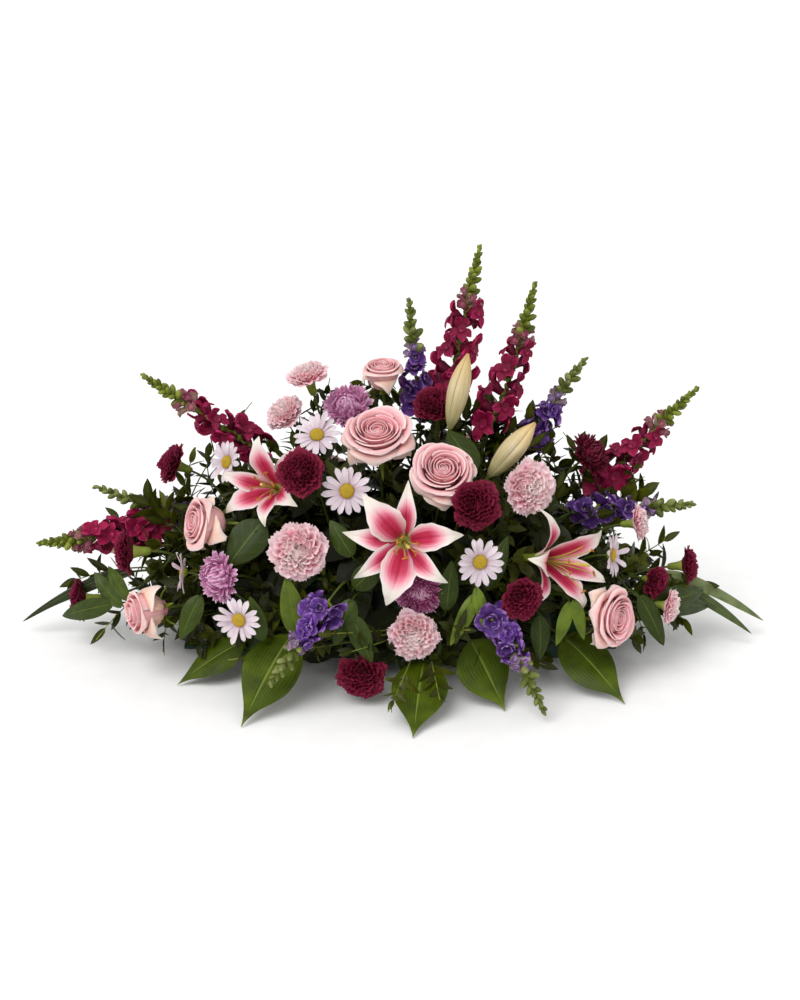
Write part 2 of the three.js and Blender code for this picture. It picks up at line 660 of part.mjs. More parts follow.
function sprigStations(length, leaf, stemRings) {
  const leafy = leaf * (SPRIG.pairs * SPRIG.gap + SPRIG.tipLeaf);
  const bare = Math.max(length - leafy, 0.2 * length);
  const gap = ((length - bare) * SPRIG.gap * leaf) / leafy;
  const stations = [];
  for (let i = 0; i < stemRings; i++) stations.push([(bare * i) / stemRings, SPRIG.stem, 0]);
  for (let i = 0; i < SPRIG.pairs; i++) {
    const size = leaf * (1 - 0.12 * i);
    stations.push([bare + gap * i, SPRIG.stem, 0]);
    stations.push([bare + gap * (i + 0.5), size * SPRIG.spread, size * SPRIG.slant]);
  }
  const last = bare + gap * SPRIG.pairs;
  stations.push([last, SPRIG.stem, 0], [last + 0.45 * (length - last), 0.2 * leaf, 0]);
  return stations;
}

function sprig(curve, leaf, stemRings, room) {
  const length = curve.getLength();
  const stations = sprigStations(length, leaf, stemRings);
  const path = stations.map(([run]) => curve.getPointAt(run / length));
  path.push(curve.getPoint(1).addScaledVector(curve.getTangent(1), 3 * room));
  const rings = frames(path, upFor(path))
    .slice(0, -1)
    .map(({ point, side, normal }, i) => {
      const half = stations[i][1] + room;
      const forward = stations[i][2];
      const along = normal.clone().cross(side);
      const edge = (hand) =>
        point.clone().addScaledVector(side, hand * half).addScaledVector(along, forward)
          .addScaledVector(normal, SPRIG.keel / 2 + room);
      return [edge(-1), edge(1), point.clone().addScaledVector(normal, -SPRIG.keel - room)];
    });
  return solidOf(loft(path[0], rings, path.at(-1)));
}

const BUNCH_STEM = { radius: 5, sides: 6, outside: 12 };
const SPRIG_SWINGS = [0, 0.2, -0.2, 0.4, -0.4, 0.65, -0.65, 0.9, -0.9, 1.2, -1.2];
const SPRIG_LIFTS = [0, 0.3, -0.3, 0.6, -0.15, 0.9];
const BUNCH_SHIFTS = [0, 10, -10, 20, -20, 30, -30, 45, -45];
const SPRIG_SHARES = [1, 0.8, 0.62, 0.48];
const foamBlock = makeFoamBlock();

function missesFoam(solid) {
  if (!boxesMeet(solid.boundingBox(), foamBlock.boundingBox())) return true;
  return solid.intersect(foamBlock).volume() < CLEAR_MM3;
}

// The first shape of a sprig that meets no other node, stays above the table and encloses no hollow.
// A tip that none of them reaches stays bare.
function growSprig(node, lean, start, { tip, leaf, stemRings }) {
  for (const share of SPRIG_SHARES)
    for (const swing of SPRIG_SWINGS)
      for (const lift of SPRIG_LIFTS) {
        const way = lean.clone().applyAxisAngle(UP, swing).add(at(0, 0, lift)).normalize();
        const bend = start.clone().addScaledVector(way, 0.45 * start.distanceTo(tip));
        const curve = new THREE.QuadraticBezierCurve3(start, bend, tip);
        const roomy = sprig(curve, leaf * share, stemRings, SPRIG.room);
        if (roomy.boundingBox().min[2] < 1 || !missesFoam(roomy) || !isFree(roomy, node)) continue;
        const made = sprig(curve, leaf * share, stemRings, 0);
        if (nodes.get(node).solid.add(made).decompose().length > 1) continue;
        addTo(node, "sprig", made);
        return;
      }
}

function bunchStem({ node, root, lean }, shift) {
  const out = lean.clone().normalize();
  const goal = root.clone().add(Math.abs(out.x) > Math.abs(out.y) ? at(0, shift, 0) : at(shift, 0, 0));
  const { entry, along } = foamEntry(goal.clone().addScaledVector(out, 400), goal);
  const outside = entry.clone().addScaledVector(along, -BUNCH_STEM.outside);
  const inside = entry.clone().addScaledVector(along, ROOT.depth);
  const stub = (grow) => {
    const radii = [BUNCH_STEM.radius + grow, BUNCH_STEM.radius + grow - 1];
    return solidOf(tube([outside, inside], radii, BUNCH_STEM.sides));
  };
  return { out, entry, along, outside, inside, stem: stub(0), free: isFree(stub(2), node) };
}

function plantBunch(bunch) {
  const { node, tips, fanSide } = bunch;
  const ways = BUNCH_SHIFTS.map((shift) => bunchStem(bunch, shift));
  const { out, entry, along, outside, inside, stem } = ways.find((way) => way.free);
  addTo(node, "sprig", stem);
  drill(entry, along, BUNCH_STEM.radius + ROOT.play, BUNCH_STEM.sides, upFor([outside, inside]));
  const { stemRings } = SPRIG;
  const goals = tips.map(([px, py, depth, leaf]) => ({ tip: atDepth([px, py, depth]), leaf, stemRings }));
  if (fanSide) goals.push(...fanTips(fanSide));
  const ring = frames([outside, inside], upFor([outside, inside]))[0];
  goals.forEach((goal, i) => {
    const turn = GOLDEN_TURN * i;
    const start = outside.clone().addScaledVector(along, 3)
      .addScaledVector(ring.side, 2.4 * Math.cos(turn))
      .addScaledVector(ring.normal, 2.4 * Math.sin(turn));
    growSprig(node, out, start, goal);
  });
}

function fanTips(side) {
  const { leaf, stemRings } = FAN;
  return FAN.rows.flatMap(({ share, rise, turns }) =>
    turns.map((turn) => {
      const level = Math.cos(radians(rise));
      const across = side * Math.cos(radians(turn)) * level;
      const back = Math.sin(radians(turn)) * level;
      const tip = at(across, back, Math.sin(radians(rise)) + 0.1).multiply(FAN.reach);
      return { tip: tip.multiplyScalar(share), leaf, stemRings };
    }),
  );
}

function makeFoamBlock() {
  const block = new THREE.BoxGeometry(FOAM.length, FOAM.depth, FOAM.height);
  return solidOf(block.translate(0, 0, FOAM.bottom + FOAM.height / 2));
}

// The saddle: an open tray that holds the foam, with a flat lug at each end that lies on the lid.
function makeSaddle() {
  const inner = { length: FOAM.length + 2 * SADDLE.play, depth: FOAM.depth + 2 * SADDLE.play };
  const length = inner.length + 2 * SADDLE.wall;
  const outside = new THREE.BoxGeometry(length, inner.depth + 2 * SADDLE.wall, SADDLE.rim);
  const hollow = new THREE.BoxGeometry(inner.length, inner.depth, SADDLE.rim);
  const lugs = new THREE.BoxGeometry(length + 2 * SADDLE.lug, SADDLE.lugWidth, SADDLE.lugHeight);
  return solidOf(outside.translate(0, 0, SADDLE.rim / 2))
    .add(solidOf(lugs.translate(0, 0, SADDLE.lugHeight / 2)))
    .subtract(solidOf(hollow.translate(0, 0, FOAM.bottom - 0.3 + SADDLE.rim / 2)));
}

const rowsOf = (table) =>
  Object.entries(table).flatMap(([kind, rows]) => rows.map((row) => ({ kind, ...row })));
const starts = [
  ...rowsOf(HEADS).map((head) => plantHead(head, onMound(head.seen, head.out))),
  ...rowsOf(BACK_HEADS).map((head) => plantHead(head, at(...head.place))),
  ...rowsOf(SPIKES).map(plantSpike),
  ...BUDS.map(plantBud),
  ...LEAVES.map(plantLeaf),
];
starts.forEach(growStem);
BUNCHES.forEach(plantBunch);
addTo("floral_foam", "foam", foamBlock.subtract(join(holes)));
addTo("casket_saddle", "saddle", makeSaddle());

function meshOf(node, { kind, solid }) {
  const { numProp, vertProperties, triVerts } = solid.simplify(FLATNESS).getMesh();
  const geometry = new THREE.BufferGeometry();
  geometry.setAttribute("position", new THREE.BufferAttribute(new Float32Array(vertProperties), numProp));
  geometry.setIndex(new THREE.BufferAttribute(new Uint32Array(triVerts), 1));
  geometry.computeVertexNormals();
  const material = new THREE.MeshStandardMaterial({ color: COLOURS[kind], roughness: 0.7, metalness: 0 });
  const mesh = new THREE.Mesh(geometry, material);
  mesh.name = node;
  return mesh;
}

const spray = new THREE.Group();
for (const [node, made] of nodes) spray.add(meshOf(node, made));
export default spray;
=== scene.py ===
"""The looks of a casket spray: every flower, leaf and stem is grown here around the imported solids.

Lengths are in millimetres until a mesh is made. +Z is up and -Y faces the viewer.
"""
import math
import zlib
from collections import defaultdict
import bpy
import numpy as np
from mathutils import Matrix


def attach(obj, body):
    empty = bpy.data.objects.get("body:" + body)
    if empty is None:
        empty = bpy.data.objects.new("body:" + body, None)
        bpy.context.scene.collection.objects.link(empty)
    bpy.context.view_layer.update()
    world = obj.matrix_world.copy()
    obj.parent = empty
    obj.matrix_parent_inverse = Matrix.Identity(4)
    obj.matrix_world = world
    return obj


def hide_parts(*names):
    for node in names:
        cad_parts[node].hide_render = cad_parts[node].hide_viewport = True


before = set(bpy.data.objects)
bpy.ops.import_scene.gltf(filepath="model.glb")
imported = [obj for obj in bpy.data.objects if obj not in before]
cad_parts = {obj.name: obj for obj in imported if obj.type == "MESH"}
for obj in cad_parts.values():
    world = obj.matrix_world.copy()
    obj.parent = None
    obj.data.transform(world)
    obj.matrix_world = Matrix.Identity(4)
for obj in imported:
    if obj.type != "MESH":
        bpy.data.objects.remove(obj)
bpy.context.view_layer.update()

MM = 0.001
TAU = 2 * math.pi
GOLDEN_TURN = TAU * 0.381966
UP = np.array([0.0, 0.0, 1.0])

# The camera: how far it is, its angle above the table, the point it looks at, and its picture in pixels.
DISTANCE = 2500
ELEVATION = math.radians(20)
TARGET = np.array([0.0, 0.0, 190.0])
MIDDLE = (400, 500)
FOCAL = 2000
SENSOR = 36
LONG_SIDE = 1000

# The mound of flower heads, the block of foam, and how deep a stem stands in it.
MOUND = np.array([400.0, 190.0, 300.0])
FOAM_LOW = np.array([-230.0, -55.0, 6.0])
FOAM_HIGH = np.array([230.0, 55.0, 106.0])
ROOT_DEPTH = 22
# How far inside the foam a small sprig starts.
FOAM_MARGIN = 14
# How far everything stays above the floor, and the angle past which an edge is sharp.
CLEAR = 0.6
SHARP = math.radians(70)

# Flower heads by kind: node, the pixel of the middle, how far out of the mound, turn, tilt and width.
HEADS = {
    "lily": [
        ("lily_centre", (404, 543), 34, 0, 15, 146),
        ("lily_left", (272, 487), -4, -28, 26, 128),
        ("lily_right", (552, 561), -4, 50, 8, 138),
    ],
    "rose": [
        ("rose_top", (383, 376), 0, -10, 80, 56),
        ("rose_upper", (378, 438), 4, -6, 64, 80),
        ("rose_middle", (443, 474), 12, 4, 50, 76),
        ("rose_left", (207, 524), 8, -62, 18, 70),
        ("rose_far_left", (147, 611), 12, -62, 2, 68),
        ("rose_right", (610, 617), 14, 50, 6, 70),
    ],
    "carnation_pink": [
        ("carnation_pink_front", (298, 552), 22, -10, 10, 72),
        ("carnation_pink_low", (414, 636), 10, 0, -4, 62),
        ("carnation_pink_right", (530, 488), 18, 28, 15, 66),
        ("carnation_spray_pink_top", (307, 374), 0, -60, 72, 54),
        ("carnation_spray_pink_top", (284, 412), -6, -50, 48, 52),
        ("carnation_spray_pink_right", (640, 523), -6, 74, 10, 44),
        ("carnation_spray_pink_right", (671, 607), 10, 70, -4, 44),
    ],
    "carnation_red": [
        ("carnation_red_upper_left", (300, 473), 50, -14, 24, 56),
        ("carnation_red_top", (434, 403), 26, 2, 62, 56),
        ("carnation_red_right", (477, 505), 26, 14, 18, 60),
        ("carnation_red_left", (171, 463), 0, -76, 26, 52),
        ("carnation_red_bottom", (361, 678), 8, -8, -10, 60),
        ("carnation_red_low_right", (523, 600), 40, 18, 0, 52),
        ("carnation_spray_red_left", (125, 552), 46, -84, 0, 56),
        ("carnation_spray_red_left", (79, 600), 0, -84, -4, 54),
        ("carnation_spray_red_right", (657, 582), 0, 46, 2, 40),
        ("carnation_spray_red_right", (689, 565), 0, 82, 8, 48),
    ],
    "mum_red": [
        ("mum_red_right", (591, 454), 16, 62, 40, 58),
    ],
    "mum": [
        ("mum_top", (348, 405), 2, -16, 54, 62),
        ("mum_left", (218, 577), 14, -46, 10, 60),
        ("mum_centre", (420, 593), 2, 4, 0, 56),
    ],
    "daisy": [
        ("daisy_spray_top", (317, 435), 10, -6, 48, 58),
        ("daisy_spray_top", (347, 491), 18, -6, 16, 60),
        ("daisy_left", (227, 462), -8, -44, 20, 54),
        ("daisy_right", (480, 562), 22, 6, 10, 58),
        ("daisy_spray_low_left", (239, 620), 26, -18, 4, 56),
        ("daisy_spray_low_left", (183, 572), 6, -92, 4, 48),
        ("daisy_far_right", (612, 555), 16, 70, 6, 54),
    ],
}
# Heads behind the mound: node, place, turn, tilt and width.
BACK_HEADS = {
    "rose": [("rose_back", (70, 165, 190), 165, 30, 76)],
    "carnation_pink": [("carnation_back_pink", (-95, 168, 165), -160, 22, 68)],
    "carnation_red": [("carnation_back_red", (185, 140, 130), 140, 18, 58)],
    "mum": [("mum_back", (-205, 130, 125), -145, 18, 60)],
    "daisy": [("daisy_back", (-10, 190, 95), 178, 8, 58)],
}
# Flower spikes by kind: node, tip and foot as a pixel and a depth, and the share that carries buds.
SPIKES = {
    "snapdragon": [
        ("snapdragon_top", (480, 245, 60), (449, 392, 50), 0.43),
        ("snapdragon_upper_right", (535, 282, 25), (488, 432, 20), 0.41),
        ("snapdragon_right", (698, 387, 30), (592, 492, 52), 0.42),
        ("snapdragon_upper_left", (142, 375, 20), (262, 452, 30), 0.42),
        ("snapdragon_low_left", (38, 543, -10), (160, 528, 26), 0.41),
    ],
    "stock": [
        ("stock_top", (409, 298, 50), (419, 412, 66), 0.5),
        ("stock_upper_right", (586, 358, 60), (524, 446, 50), 0.5),
        ("stock_right", (695, 504, 15), (580, 512, 0), 0.46),
        ("stock_left", (94, 486, 60), (202, 522, 50), 0.56),
        ("stock_low_left", (270, 685, -232), (328, 602, -188), 0.55),
        ("stock_low_right", (545, 714, -245), (491, 612, -180), 0.55),
    ],
}
# Lily buds: node, tip and foot as a pixel and a depth, and width.
BUDS = [
    ("lily_bud_top", (468, 354, -28), (450, 428, -14), 27),
    ("lily_bud_right", (535, 423, -70), (489, 476, -60), 28),
    ("lily_bud_left", (92, 544, 84), (153, 549, 76), 23),
]
# Broad leaves: node, foot as a pixel and a depth, tip as a pixel and a height, and width.
LEAVES = [
    ("leaves_front_left", (246, 640, -110), (177, 685, 2), 46),
    ("leaves_front_left", (292, 634, -150), (241, 727, 2), 66),
    ("leaf_front_middle", (424, 660, -170), (413, 738, 2), 62),
    ("leaves_front_right", (470, 640, -150), (505, 711, 2), 66),
    ("leaves_front_right", (562, 636, -110), (625, 704, 2), 60),
]
# Bunches of leafy sprigs: node, a point in the foam, the way out of it, and each tip as a pixel, a depth
# and the leaves' length.
BUNCHES = [
    ("sprigs_left", (-205, 0, 62), (-1, 0, 0.5), [
        (22, 622, 20, 80), (66, 584, 60, 44), (96, 640, -70, 46), (112, 512, 52, 40),
        (196, 447, 45, 36), (163, 652, -110, 40), (252, 402, 70, 36)]),
    ("sprigs_right", (205, 0, 62), (1, 0, 0.5), [
        (764, 621, 10, 80), (752, 634, -20, 70), (712, 592, 30, 50), (670, 537, 30, 42),
        (690, 628, -60, 44), (563, 432, 70, 38), (646, 646, -90, 42)]),
    ("sprigs_front", (20, 0, 40), (0, -1, 0.25), [
        (388, 712, -264, 32), (318, 634, -215, 40), (440, 700, -245, 34), (470, 630, -225, 32),
        (340, 655, -225, 36), (557, 668, -165, 44), (228, 660, -150, 40)]),
    ("sprigs_back_left", (-80, 0, 70), (-0.3, 1, 0.6), [(330, 378, 60, 32)]),
    ("sprigs_back_right", (80, 0, 70), (0.3, 1, 0.6), [(489, 376, 60, 34)]),
]
# The radius of a bunch's stem. Leaves that are longer than the next length are straps.
BUNCH_STEM = 4.2
LONGEST_SPRIG_LEAF = 60
FAN_SIDES = {"sprigs_back_left": -1, "sprigs_back_right": 1}
FAN_REACH = np.array([345.0, 235.0, 265.0])
FAN_LEAF = 56
# Rows of sprigs in the fan: a share of the reach, the rise of the row and its turns.
FAN_ROWS = [(0.92, -1, (18, 50, 82)), (1, 14, (14, 42, 72)), (1, 50, (14, 42, 72))]


# Places read from the camera's view.
look_ahead = np.array([0, math.cos(ELEVATION), -math.sin(ELEVATION)])
look_up = np.array([0, math.sin(ELEVATION), math.cos(ELEVATION)])
eye = TARGET - DISTANCE * look_ahead


def unit(vector):
    return np.asarray(vector, float) / np.linalg.norm(vector)


def units(vectors):
    """Many vectors, each at length one."""
    return vectors / np.maximum(np.linalg.norm(vectors, axis=-1, keepdims=True), 1e-9)


def sight_line(seen):
    across = (seen[0] - MIDDLE[0]) / FOCAL
    above = (MIDDLE[1] - seen[1]) / FOCAL
    return unit(look_ahead + np.array([across, 0, 0]) + above * look_up)


def at_depth(spot):
    line = sight_line(spot)
    return eye + line * (spot[2] - eye[1]) / line[1]


def at_height(spot):
    line = sight_line(spot)
    return eye + line * (spot[2] - eye[2]) / line[2]


def on_mound(seen, out):
    """Where a sight line first meets the mound, or passes nearest to it, less the distance out."""
    line = sight_line(seen)
    ray = line / MOUND
    start = eye / MOUND
    middle = -ray @ start / (ray @ ray)
    half = middle**2 - (start @ start - 1) / (ray @ ray)
    return eye + line * (middle - math.sqrt(max(half, 0)) - out)


def facing(turn, tilt):
    turn, tilt = math.radians(turn), math.radians(tilt)
    return np.array([
        math.sin(turn) * math.cos(tilt), -math.cos(turn) * math.cos(tilt), math.sin(tilt)])


class Place:
    """A frame for a piece that is made along +Z: it stands at a point and looks forward."""

    def __init__(self, point, forward, size=1.0, roll=0.0):
        self.point = np.asarray(point, float)
        self.forward = unit(forward)
        right = unit(np.cross(UP, self.forward)) if abs(self.forward[2]) < 0.999 else np.array([1.0, 0, 0])
        above = np.cross(self.forward, right)
        turned = right * math.cos(roll) + above * math.sin(roll)
        self.axes = np.stack([turned, np.cross(self.forward, turned), self.forward]) * size
        self.size = size

    def put(self, points):
        return self.point + np.asarray(points, float) @ self.axes

    def inside(self, point, forward, size=1.0, roll=0.0):
        """A place given in this place's own frame."""
        return Place(self.put(point), np.asarray(forward, float) @ self.axes, size * self.size, roll)


def chance(name):
    """A seeded source of random numbers of a piece's own."""
    return np.random.default_rng(zlib.crc32(name.encode()))


def bezier(points, share):
    points = np.asarray(points, float)
    degree = len(points) - 1
    share = np.asarray(share, float)[..., None]
    return sum(
        math.comb(degree, k) * share**k * (1 - share) ** (degree - k) * points[k]
        for k in range(degree + 1))


def through(points, share):
    """A smooth curve through points that lie evenly along it."""
    points = np.asarray(points, float)
    last = len(points) - 1
    run = np.clip(np.asarray(share, float), 0, 1) * last
    index = np.minimum(run.astype(int), last - 1)
    t = run - index
    if points.ndim > 1:
        t = t[..., None]
    before, after = points[np.maximum(index - 1, 0)], points[np.minimum(index + 2, last)]
    a, b = points[index], points[index + 1]
    return a + 0.5 * t * (b - before + t * (
        2 * before - 5 * a + 4 * b - after + t * (3 * (a - b) + after - before)))


def ripple(across, slow, fast, rng):
    """A wave of a random length and phase."""
    return np.sin(across * rng.uniform(slow, fast) + rng.uniform(0, TAU))


def placed(name, data):
    """A new object in the scene."""
    made = bpy.data.objects.new(name, data)
    bpy.context.scene.collection.objects.link(made)
    return made


class Growth:
    """Closed surfaces that become one mesh. Each point carries its form, which is how far it lies across
    (-1 to 1) and along (0 to 1) its petal or leaf and that one's own tone, and its rank, which is the layer
    it is in (0 to 1) and whether it is on the under side."""

    def __init__(self):
        self.points, self.faces, self.form, self.rank = [], [], [], []
        self.total = 0

    def add(self, points, faces, across, along, tone, layer=0.0, under=0.0):
        points = np.asarray(points, float).reshape(-1, 3)
        size = len(points)
        self.points.append(points)
        for kind in faces:
            self.faces.extend((np.asarray(kind) + self.total).tolist())
        spread = [np.broadcast_to(np.asarray(x, float).reshape(-1), size) for x in (across, along, tone)]
        ranks = [np.broadcast_to(np.asarray(x, float).reshape(-1), size) for x in (layer, under)]
        self.form.append(np.stack(spread, 1))
        self.rank.append(np.stack([*ranks, np.zeros(size)], 1))
        self.total += size

    def piece(self, name, material, slot=None, nodes=()):
        points = np.concatenate(self.points)
        points[:, 2] = np.maximum(points[:, 2], CLEAR)
        mesh = bpy.data.meshes.new(name)
        mesh.from_pydata((points * MM).tolist(), [], self.faces)
        mesh.polygons.foreach_set("use_smooth", [True] * len(mesh.polygons))
        mesh.set_sharp_from_angle(angle=SHARP)
        for attribute, values in (("form", self.form), ("rank", self.rank)):
            layer = mesh.attributes.new(attribute, "FLOAT_VECTOR", "POINT")
            layer.data.foreach_set("vector", np.concatenate(values).astype(np.float32).ravel())
        mesh.materials.append(material)
        made = placed(name, mesh)
        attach(made, "root")
        if nodes:
            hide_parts(*nodes)


class Parts(dict):
    """A node's parts by role, each made when it is first asked for."""

    def __missing__(self, role):
        self[role] = [] if role == "leaves" else Growth()
        return self[role]


def grid(rows, columns):
    """How far across and along each point of a petal lies."""
    return np.meshgrid(np.linspace(-1, 1, columns), np.linspace(0, 1, rows))


def surface(path, half, across, side, rise, normal):
    """Points across a path: half is its half width, and rise how far each stands off along the normal."""
    return path + (half * across)[..., None] * side + rise[..., None] * normal


def quads(index):
    corners = [index[:-1, :-1], index[:-1, 1:], index[1:, 1:], index[1:, :-1]]
    return np.stack(corners, -1).reshape(-1, 4)


def add_sheet(growth, top, across, along, thickness, tone, layer=0.0):
    """A thin closed petal or leaf under a grid of points: its rim is sharp."""
    rows, columns = across.shape
    normal = units(np.cross(np.gradient(top, axis=1), np.gradient(top, axis=0)))
    inner = (slice(1, -1), slice(1, -1))
    under = (top - thickness * normal)[inner].reshape(-1, 3)
    upper = np.arange(rows * columns).reshape(rows, columns)
    lower = upper.copy()
    lower[inner] = rows * columns + np.arange(len(under)).reshape(rows - 2, columns - 2)
    points = np.concatenate([top.reshape(-1, 3), under])
    sides = np.concatenate([np.zeros(rows * columns), np.ones(len(under))])
    u = np.concatenate([across.ravel(), across[inner].ravel()])
    v = np.concatenate([along.ravel(), along[inner].ravel()])
    growth.add(points, [quads(upper), quads(lower)[:, ::-1]], u, v, tone, layer, sides)


def add_rings(growth, rings, tone, layer=0.0, along=None, across=None):
    """A closed surface through rings of equally many points, capped at both ends."""
    rings = np.asarray(rings, float)
    count, sides = rings.shape[:2]
    index = np.arange(count * sides).reshape(count, sides)
    wall = quads(np.concatenate([index, index[:, :1]], 1))
    turn = np.cos(TAU * np.arange(sides) / sides) if across is None else across
    run = np.linspace(0, 1, count) if along is None else np.asarray(along)
    u = np.broadcast_to(turn, (count, sides))
    v = np.broadcast_to(run[:, None], (count, sides))
    growth.add(rings, [wall, [index[0][::-1], index[-1]]], u, v, tone, layer)


def path_axes(path):
    """Two directions square to a path and to each other at each of its points, with no sudden twist."""
    tangents = units(np.gradient(path, axis=0))
    start = np.array([0, -1.0, 0]) if abs(tangents[0][1]) < 0.8 else np.array([1.0, 0, 0])
    side = unit(np.cross(tangents[0], start))
    sides = []
    for tangent in tangents:
        side = unit(side - tangent * (side @ tangent))
        sides.append(side)
    sides = np.array(sides)
    return sides, np.cross(tangents, sides)


def add_tube(growth, path, radii, sides=6, tone=0.5):
    side, other = path_axes(path)
    angles = TAU * np.arange(sides) / sides
    radii = np.broadcast_to(np.asarray(radii, float), len(path))[:, None, None]
    rings = path[:, None] + radii * (
        np.cos(angles)[None, :, None] * side[:, None] + np.sin(angles)[None, :, None] * other[:, None])
    add_rings(growth, rings, tone)


# Small leaves: how many rings, how far the halves fold up, as a share of the half width, and thickness.
LEAF_RINGS = 7
LEAF_FOLD = 0.12
LEAF_THICKNESS = 0.35


def add_leaves(growth, bases, ways, faces_to, lengths, widths, bends, tones, rings=LEAF_RINGS):
    """Many small pointed leaves: each starts at a base, points one way, and its face looks another."""
    ways = units(ways)
    faces_to = units(faces_to - ways * np.sum(ways * faces_to, 1, keepdims=True))
    count = len(bases)
    t = np.linspace(0, 1, rings)[None, :, None]
    run, drop = lengths[:, None, None] * t, (bends * lengths)[:, None, None] * t**2
    middle = bases[:, None] + run * ways[:, None] - drop * faces_to[:, None]
    normal = units(faces_to[:, None] + 2 * bends[:, None, None] * t * ways[:, None])
    side = np.cross(ways, faces_to)[:, None]
    half = widths[:, None, None] / 2 * (0.05 + np.sin(np.pi * t**0.85) ** 0.8) * (1 - 0.12 * t)
    raised, sunk = LEAF_FOLD * half * normal, 0.4 * LEAF_FOLD * half * normal
    points = np.stack([
        middle - half * side + raised, middle + LEAF_THICKNESS * normal - sunk,
        middle + half * side + raised, middle - LEAF_THICKNESS * normal - sunk], 2)
    index = np.arange(count * rings * 4).reshape(count, rings, 4)
    closed = np.concatenate([index, index[..., :1]], 2)
    wall = np.stack([closed[:, :-1, :-1], closed[:, :-1, 1:], closed[:, 1:, 1:], closed[:, 1:, :-1]], -1)
    caps = np.concatenate([index[:, 0, ::-1], index[:, -1]])
    u, v, tone, under = (
        np.broadcast_to(values, (count, rings, 4))
        for values in (np.array([-1.0, 0, 1, 0]), t, tones[:, None, None], np.array([0, 0, 0, 1.0])))
    growth.add(points, [wall.reshape(-1, 4), caps], u, v, tone, 0.0, under)


# Flowers are made along +Z, with lengths as shares of the head's half width.
def spoke(angle):
    """The way out from a flower's middle at an angle, and the way across it."""
    out = np.array([math.cos(angle), math.sin(angle), 0])
    return out, np.array([out[1], -out[0], 0])


def ring(radius, height, sides, tall=1.0):
    """Points round +Z at a height. Tall is how much further out they lie along Y."""
    angles = TAU * np.arange(sides) / sides
    level = np.full(sides, float(height))
    return np.stack([radius * np.cos(angles), radius * tall * np.sin(angles), level], -1)


def add_turned(growth, place, profile, sides, tone, layer=0.0):
    """A turned shape: its profile is radii and heights."""
    rings = [place.put(ring(r, h, sides)) for r, h in profile]
    add_rings(growth, rings, tone, layer)


# Roses. A layer is how many petals, their radius at the base and at the rim, their height, how far the lip
# leans out and drops, and half the angle that a petal spans.
ROSE_OPEN = [
    (2, 0.14, 0.05, 0.34, 0.00, 0.00, 135),
    (2, 0.21, 0.12, 0.38, 0.00, 0.00, 118),
    (3, 0.28, 0.20, 0.41, 0.00, 0.00, 100),
    (3, 0.34, 0.30, 0.44, 0.01, 0.00, 92),
    (3, 0.39, 0.42, 0.47, 0.04, 0.00, 88),
    (3, 0.43, 0.56, 0.50, 0.07, 0.01, 82),
    (3, 0.47, 0.70, 0.48, 0.12, 0.03, 76),
    (4, 0.51, 0.82, 0.37, 0.16, 0.06, 60),
    (4, 0.53, 0.85, 0.13, 0.22, 0.12, 52),
    (3, 0.50, 0.74, -0.10, 0.30, 0.14, 42),
]
ROSE_CUP = [
    (2, 0.12, 0.05, 0.52, 0.00, 0.00, 135),
    (2, 0.20, 0.12, 0.57, 0.00, 0.00, 118),
    (3, 0.28, 0.21, 0.60, 0.00, 0.00, 100),
    (3, 0.37, 0.33, 0.62, 0.02, 0.00, 92),
    (3, 0.46, 0.46, 0.62, 0.06, 0.01, 88),
    (3, 0.55, 0.58, 0.58, 0.14, 0.05, 86),
    (3, 0.62, 0.67, 0.50, 0.25, 0.12, 78),
    (3, 0.60, 0.66, 0.16, 0.30, 0.24, 44),
]
ROSE_BUD = [
    (2, 0.10, 0.05, 0.66, 0.00, 0.00, 135),
    (2, 0.17, 0.11, 0.69, 0.00, 0.00, 118),
    (3, 0.26, 0.20, 0.70, 0.01, 0.00, 100),
    (3, 0.36, 0.32, 0.68, 0.03, 0.01, 94),
    (2, 0.48, 0.46, 0.62, 0.10, 0.04, 112),
    (2, 0.58, 0.58, 0.52, 0.20, 0.10, 106),
    (3, 0.58, 0.60, 0.22, 0.36, 0.28, 52),
]
ROSE_FORMS = {"rose_top": ROSE_CUP, "rose_left": ROSE_CUP, "rose_far_left": ROSE_BUD}
# How far each layer is turned past the one before it, in radians, and the rose's core and hip.
ROSE_TURN = 0.95
ROSE_HEART = [(0.08, -0.4), (0.3, -0.34), (0.35, -0.1), (0.3, 0.12), (0.2, 0.26), (0.06, 0.32)]
ROSE_HIP = [(0.03, -0.92), (0.1, -0.86), (0.17, -0.74), (0.2, -0.62), (0.16, -0.52)]


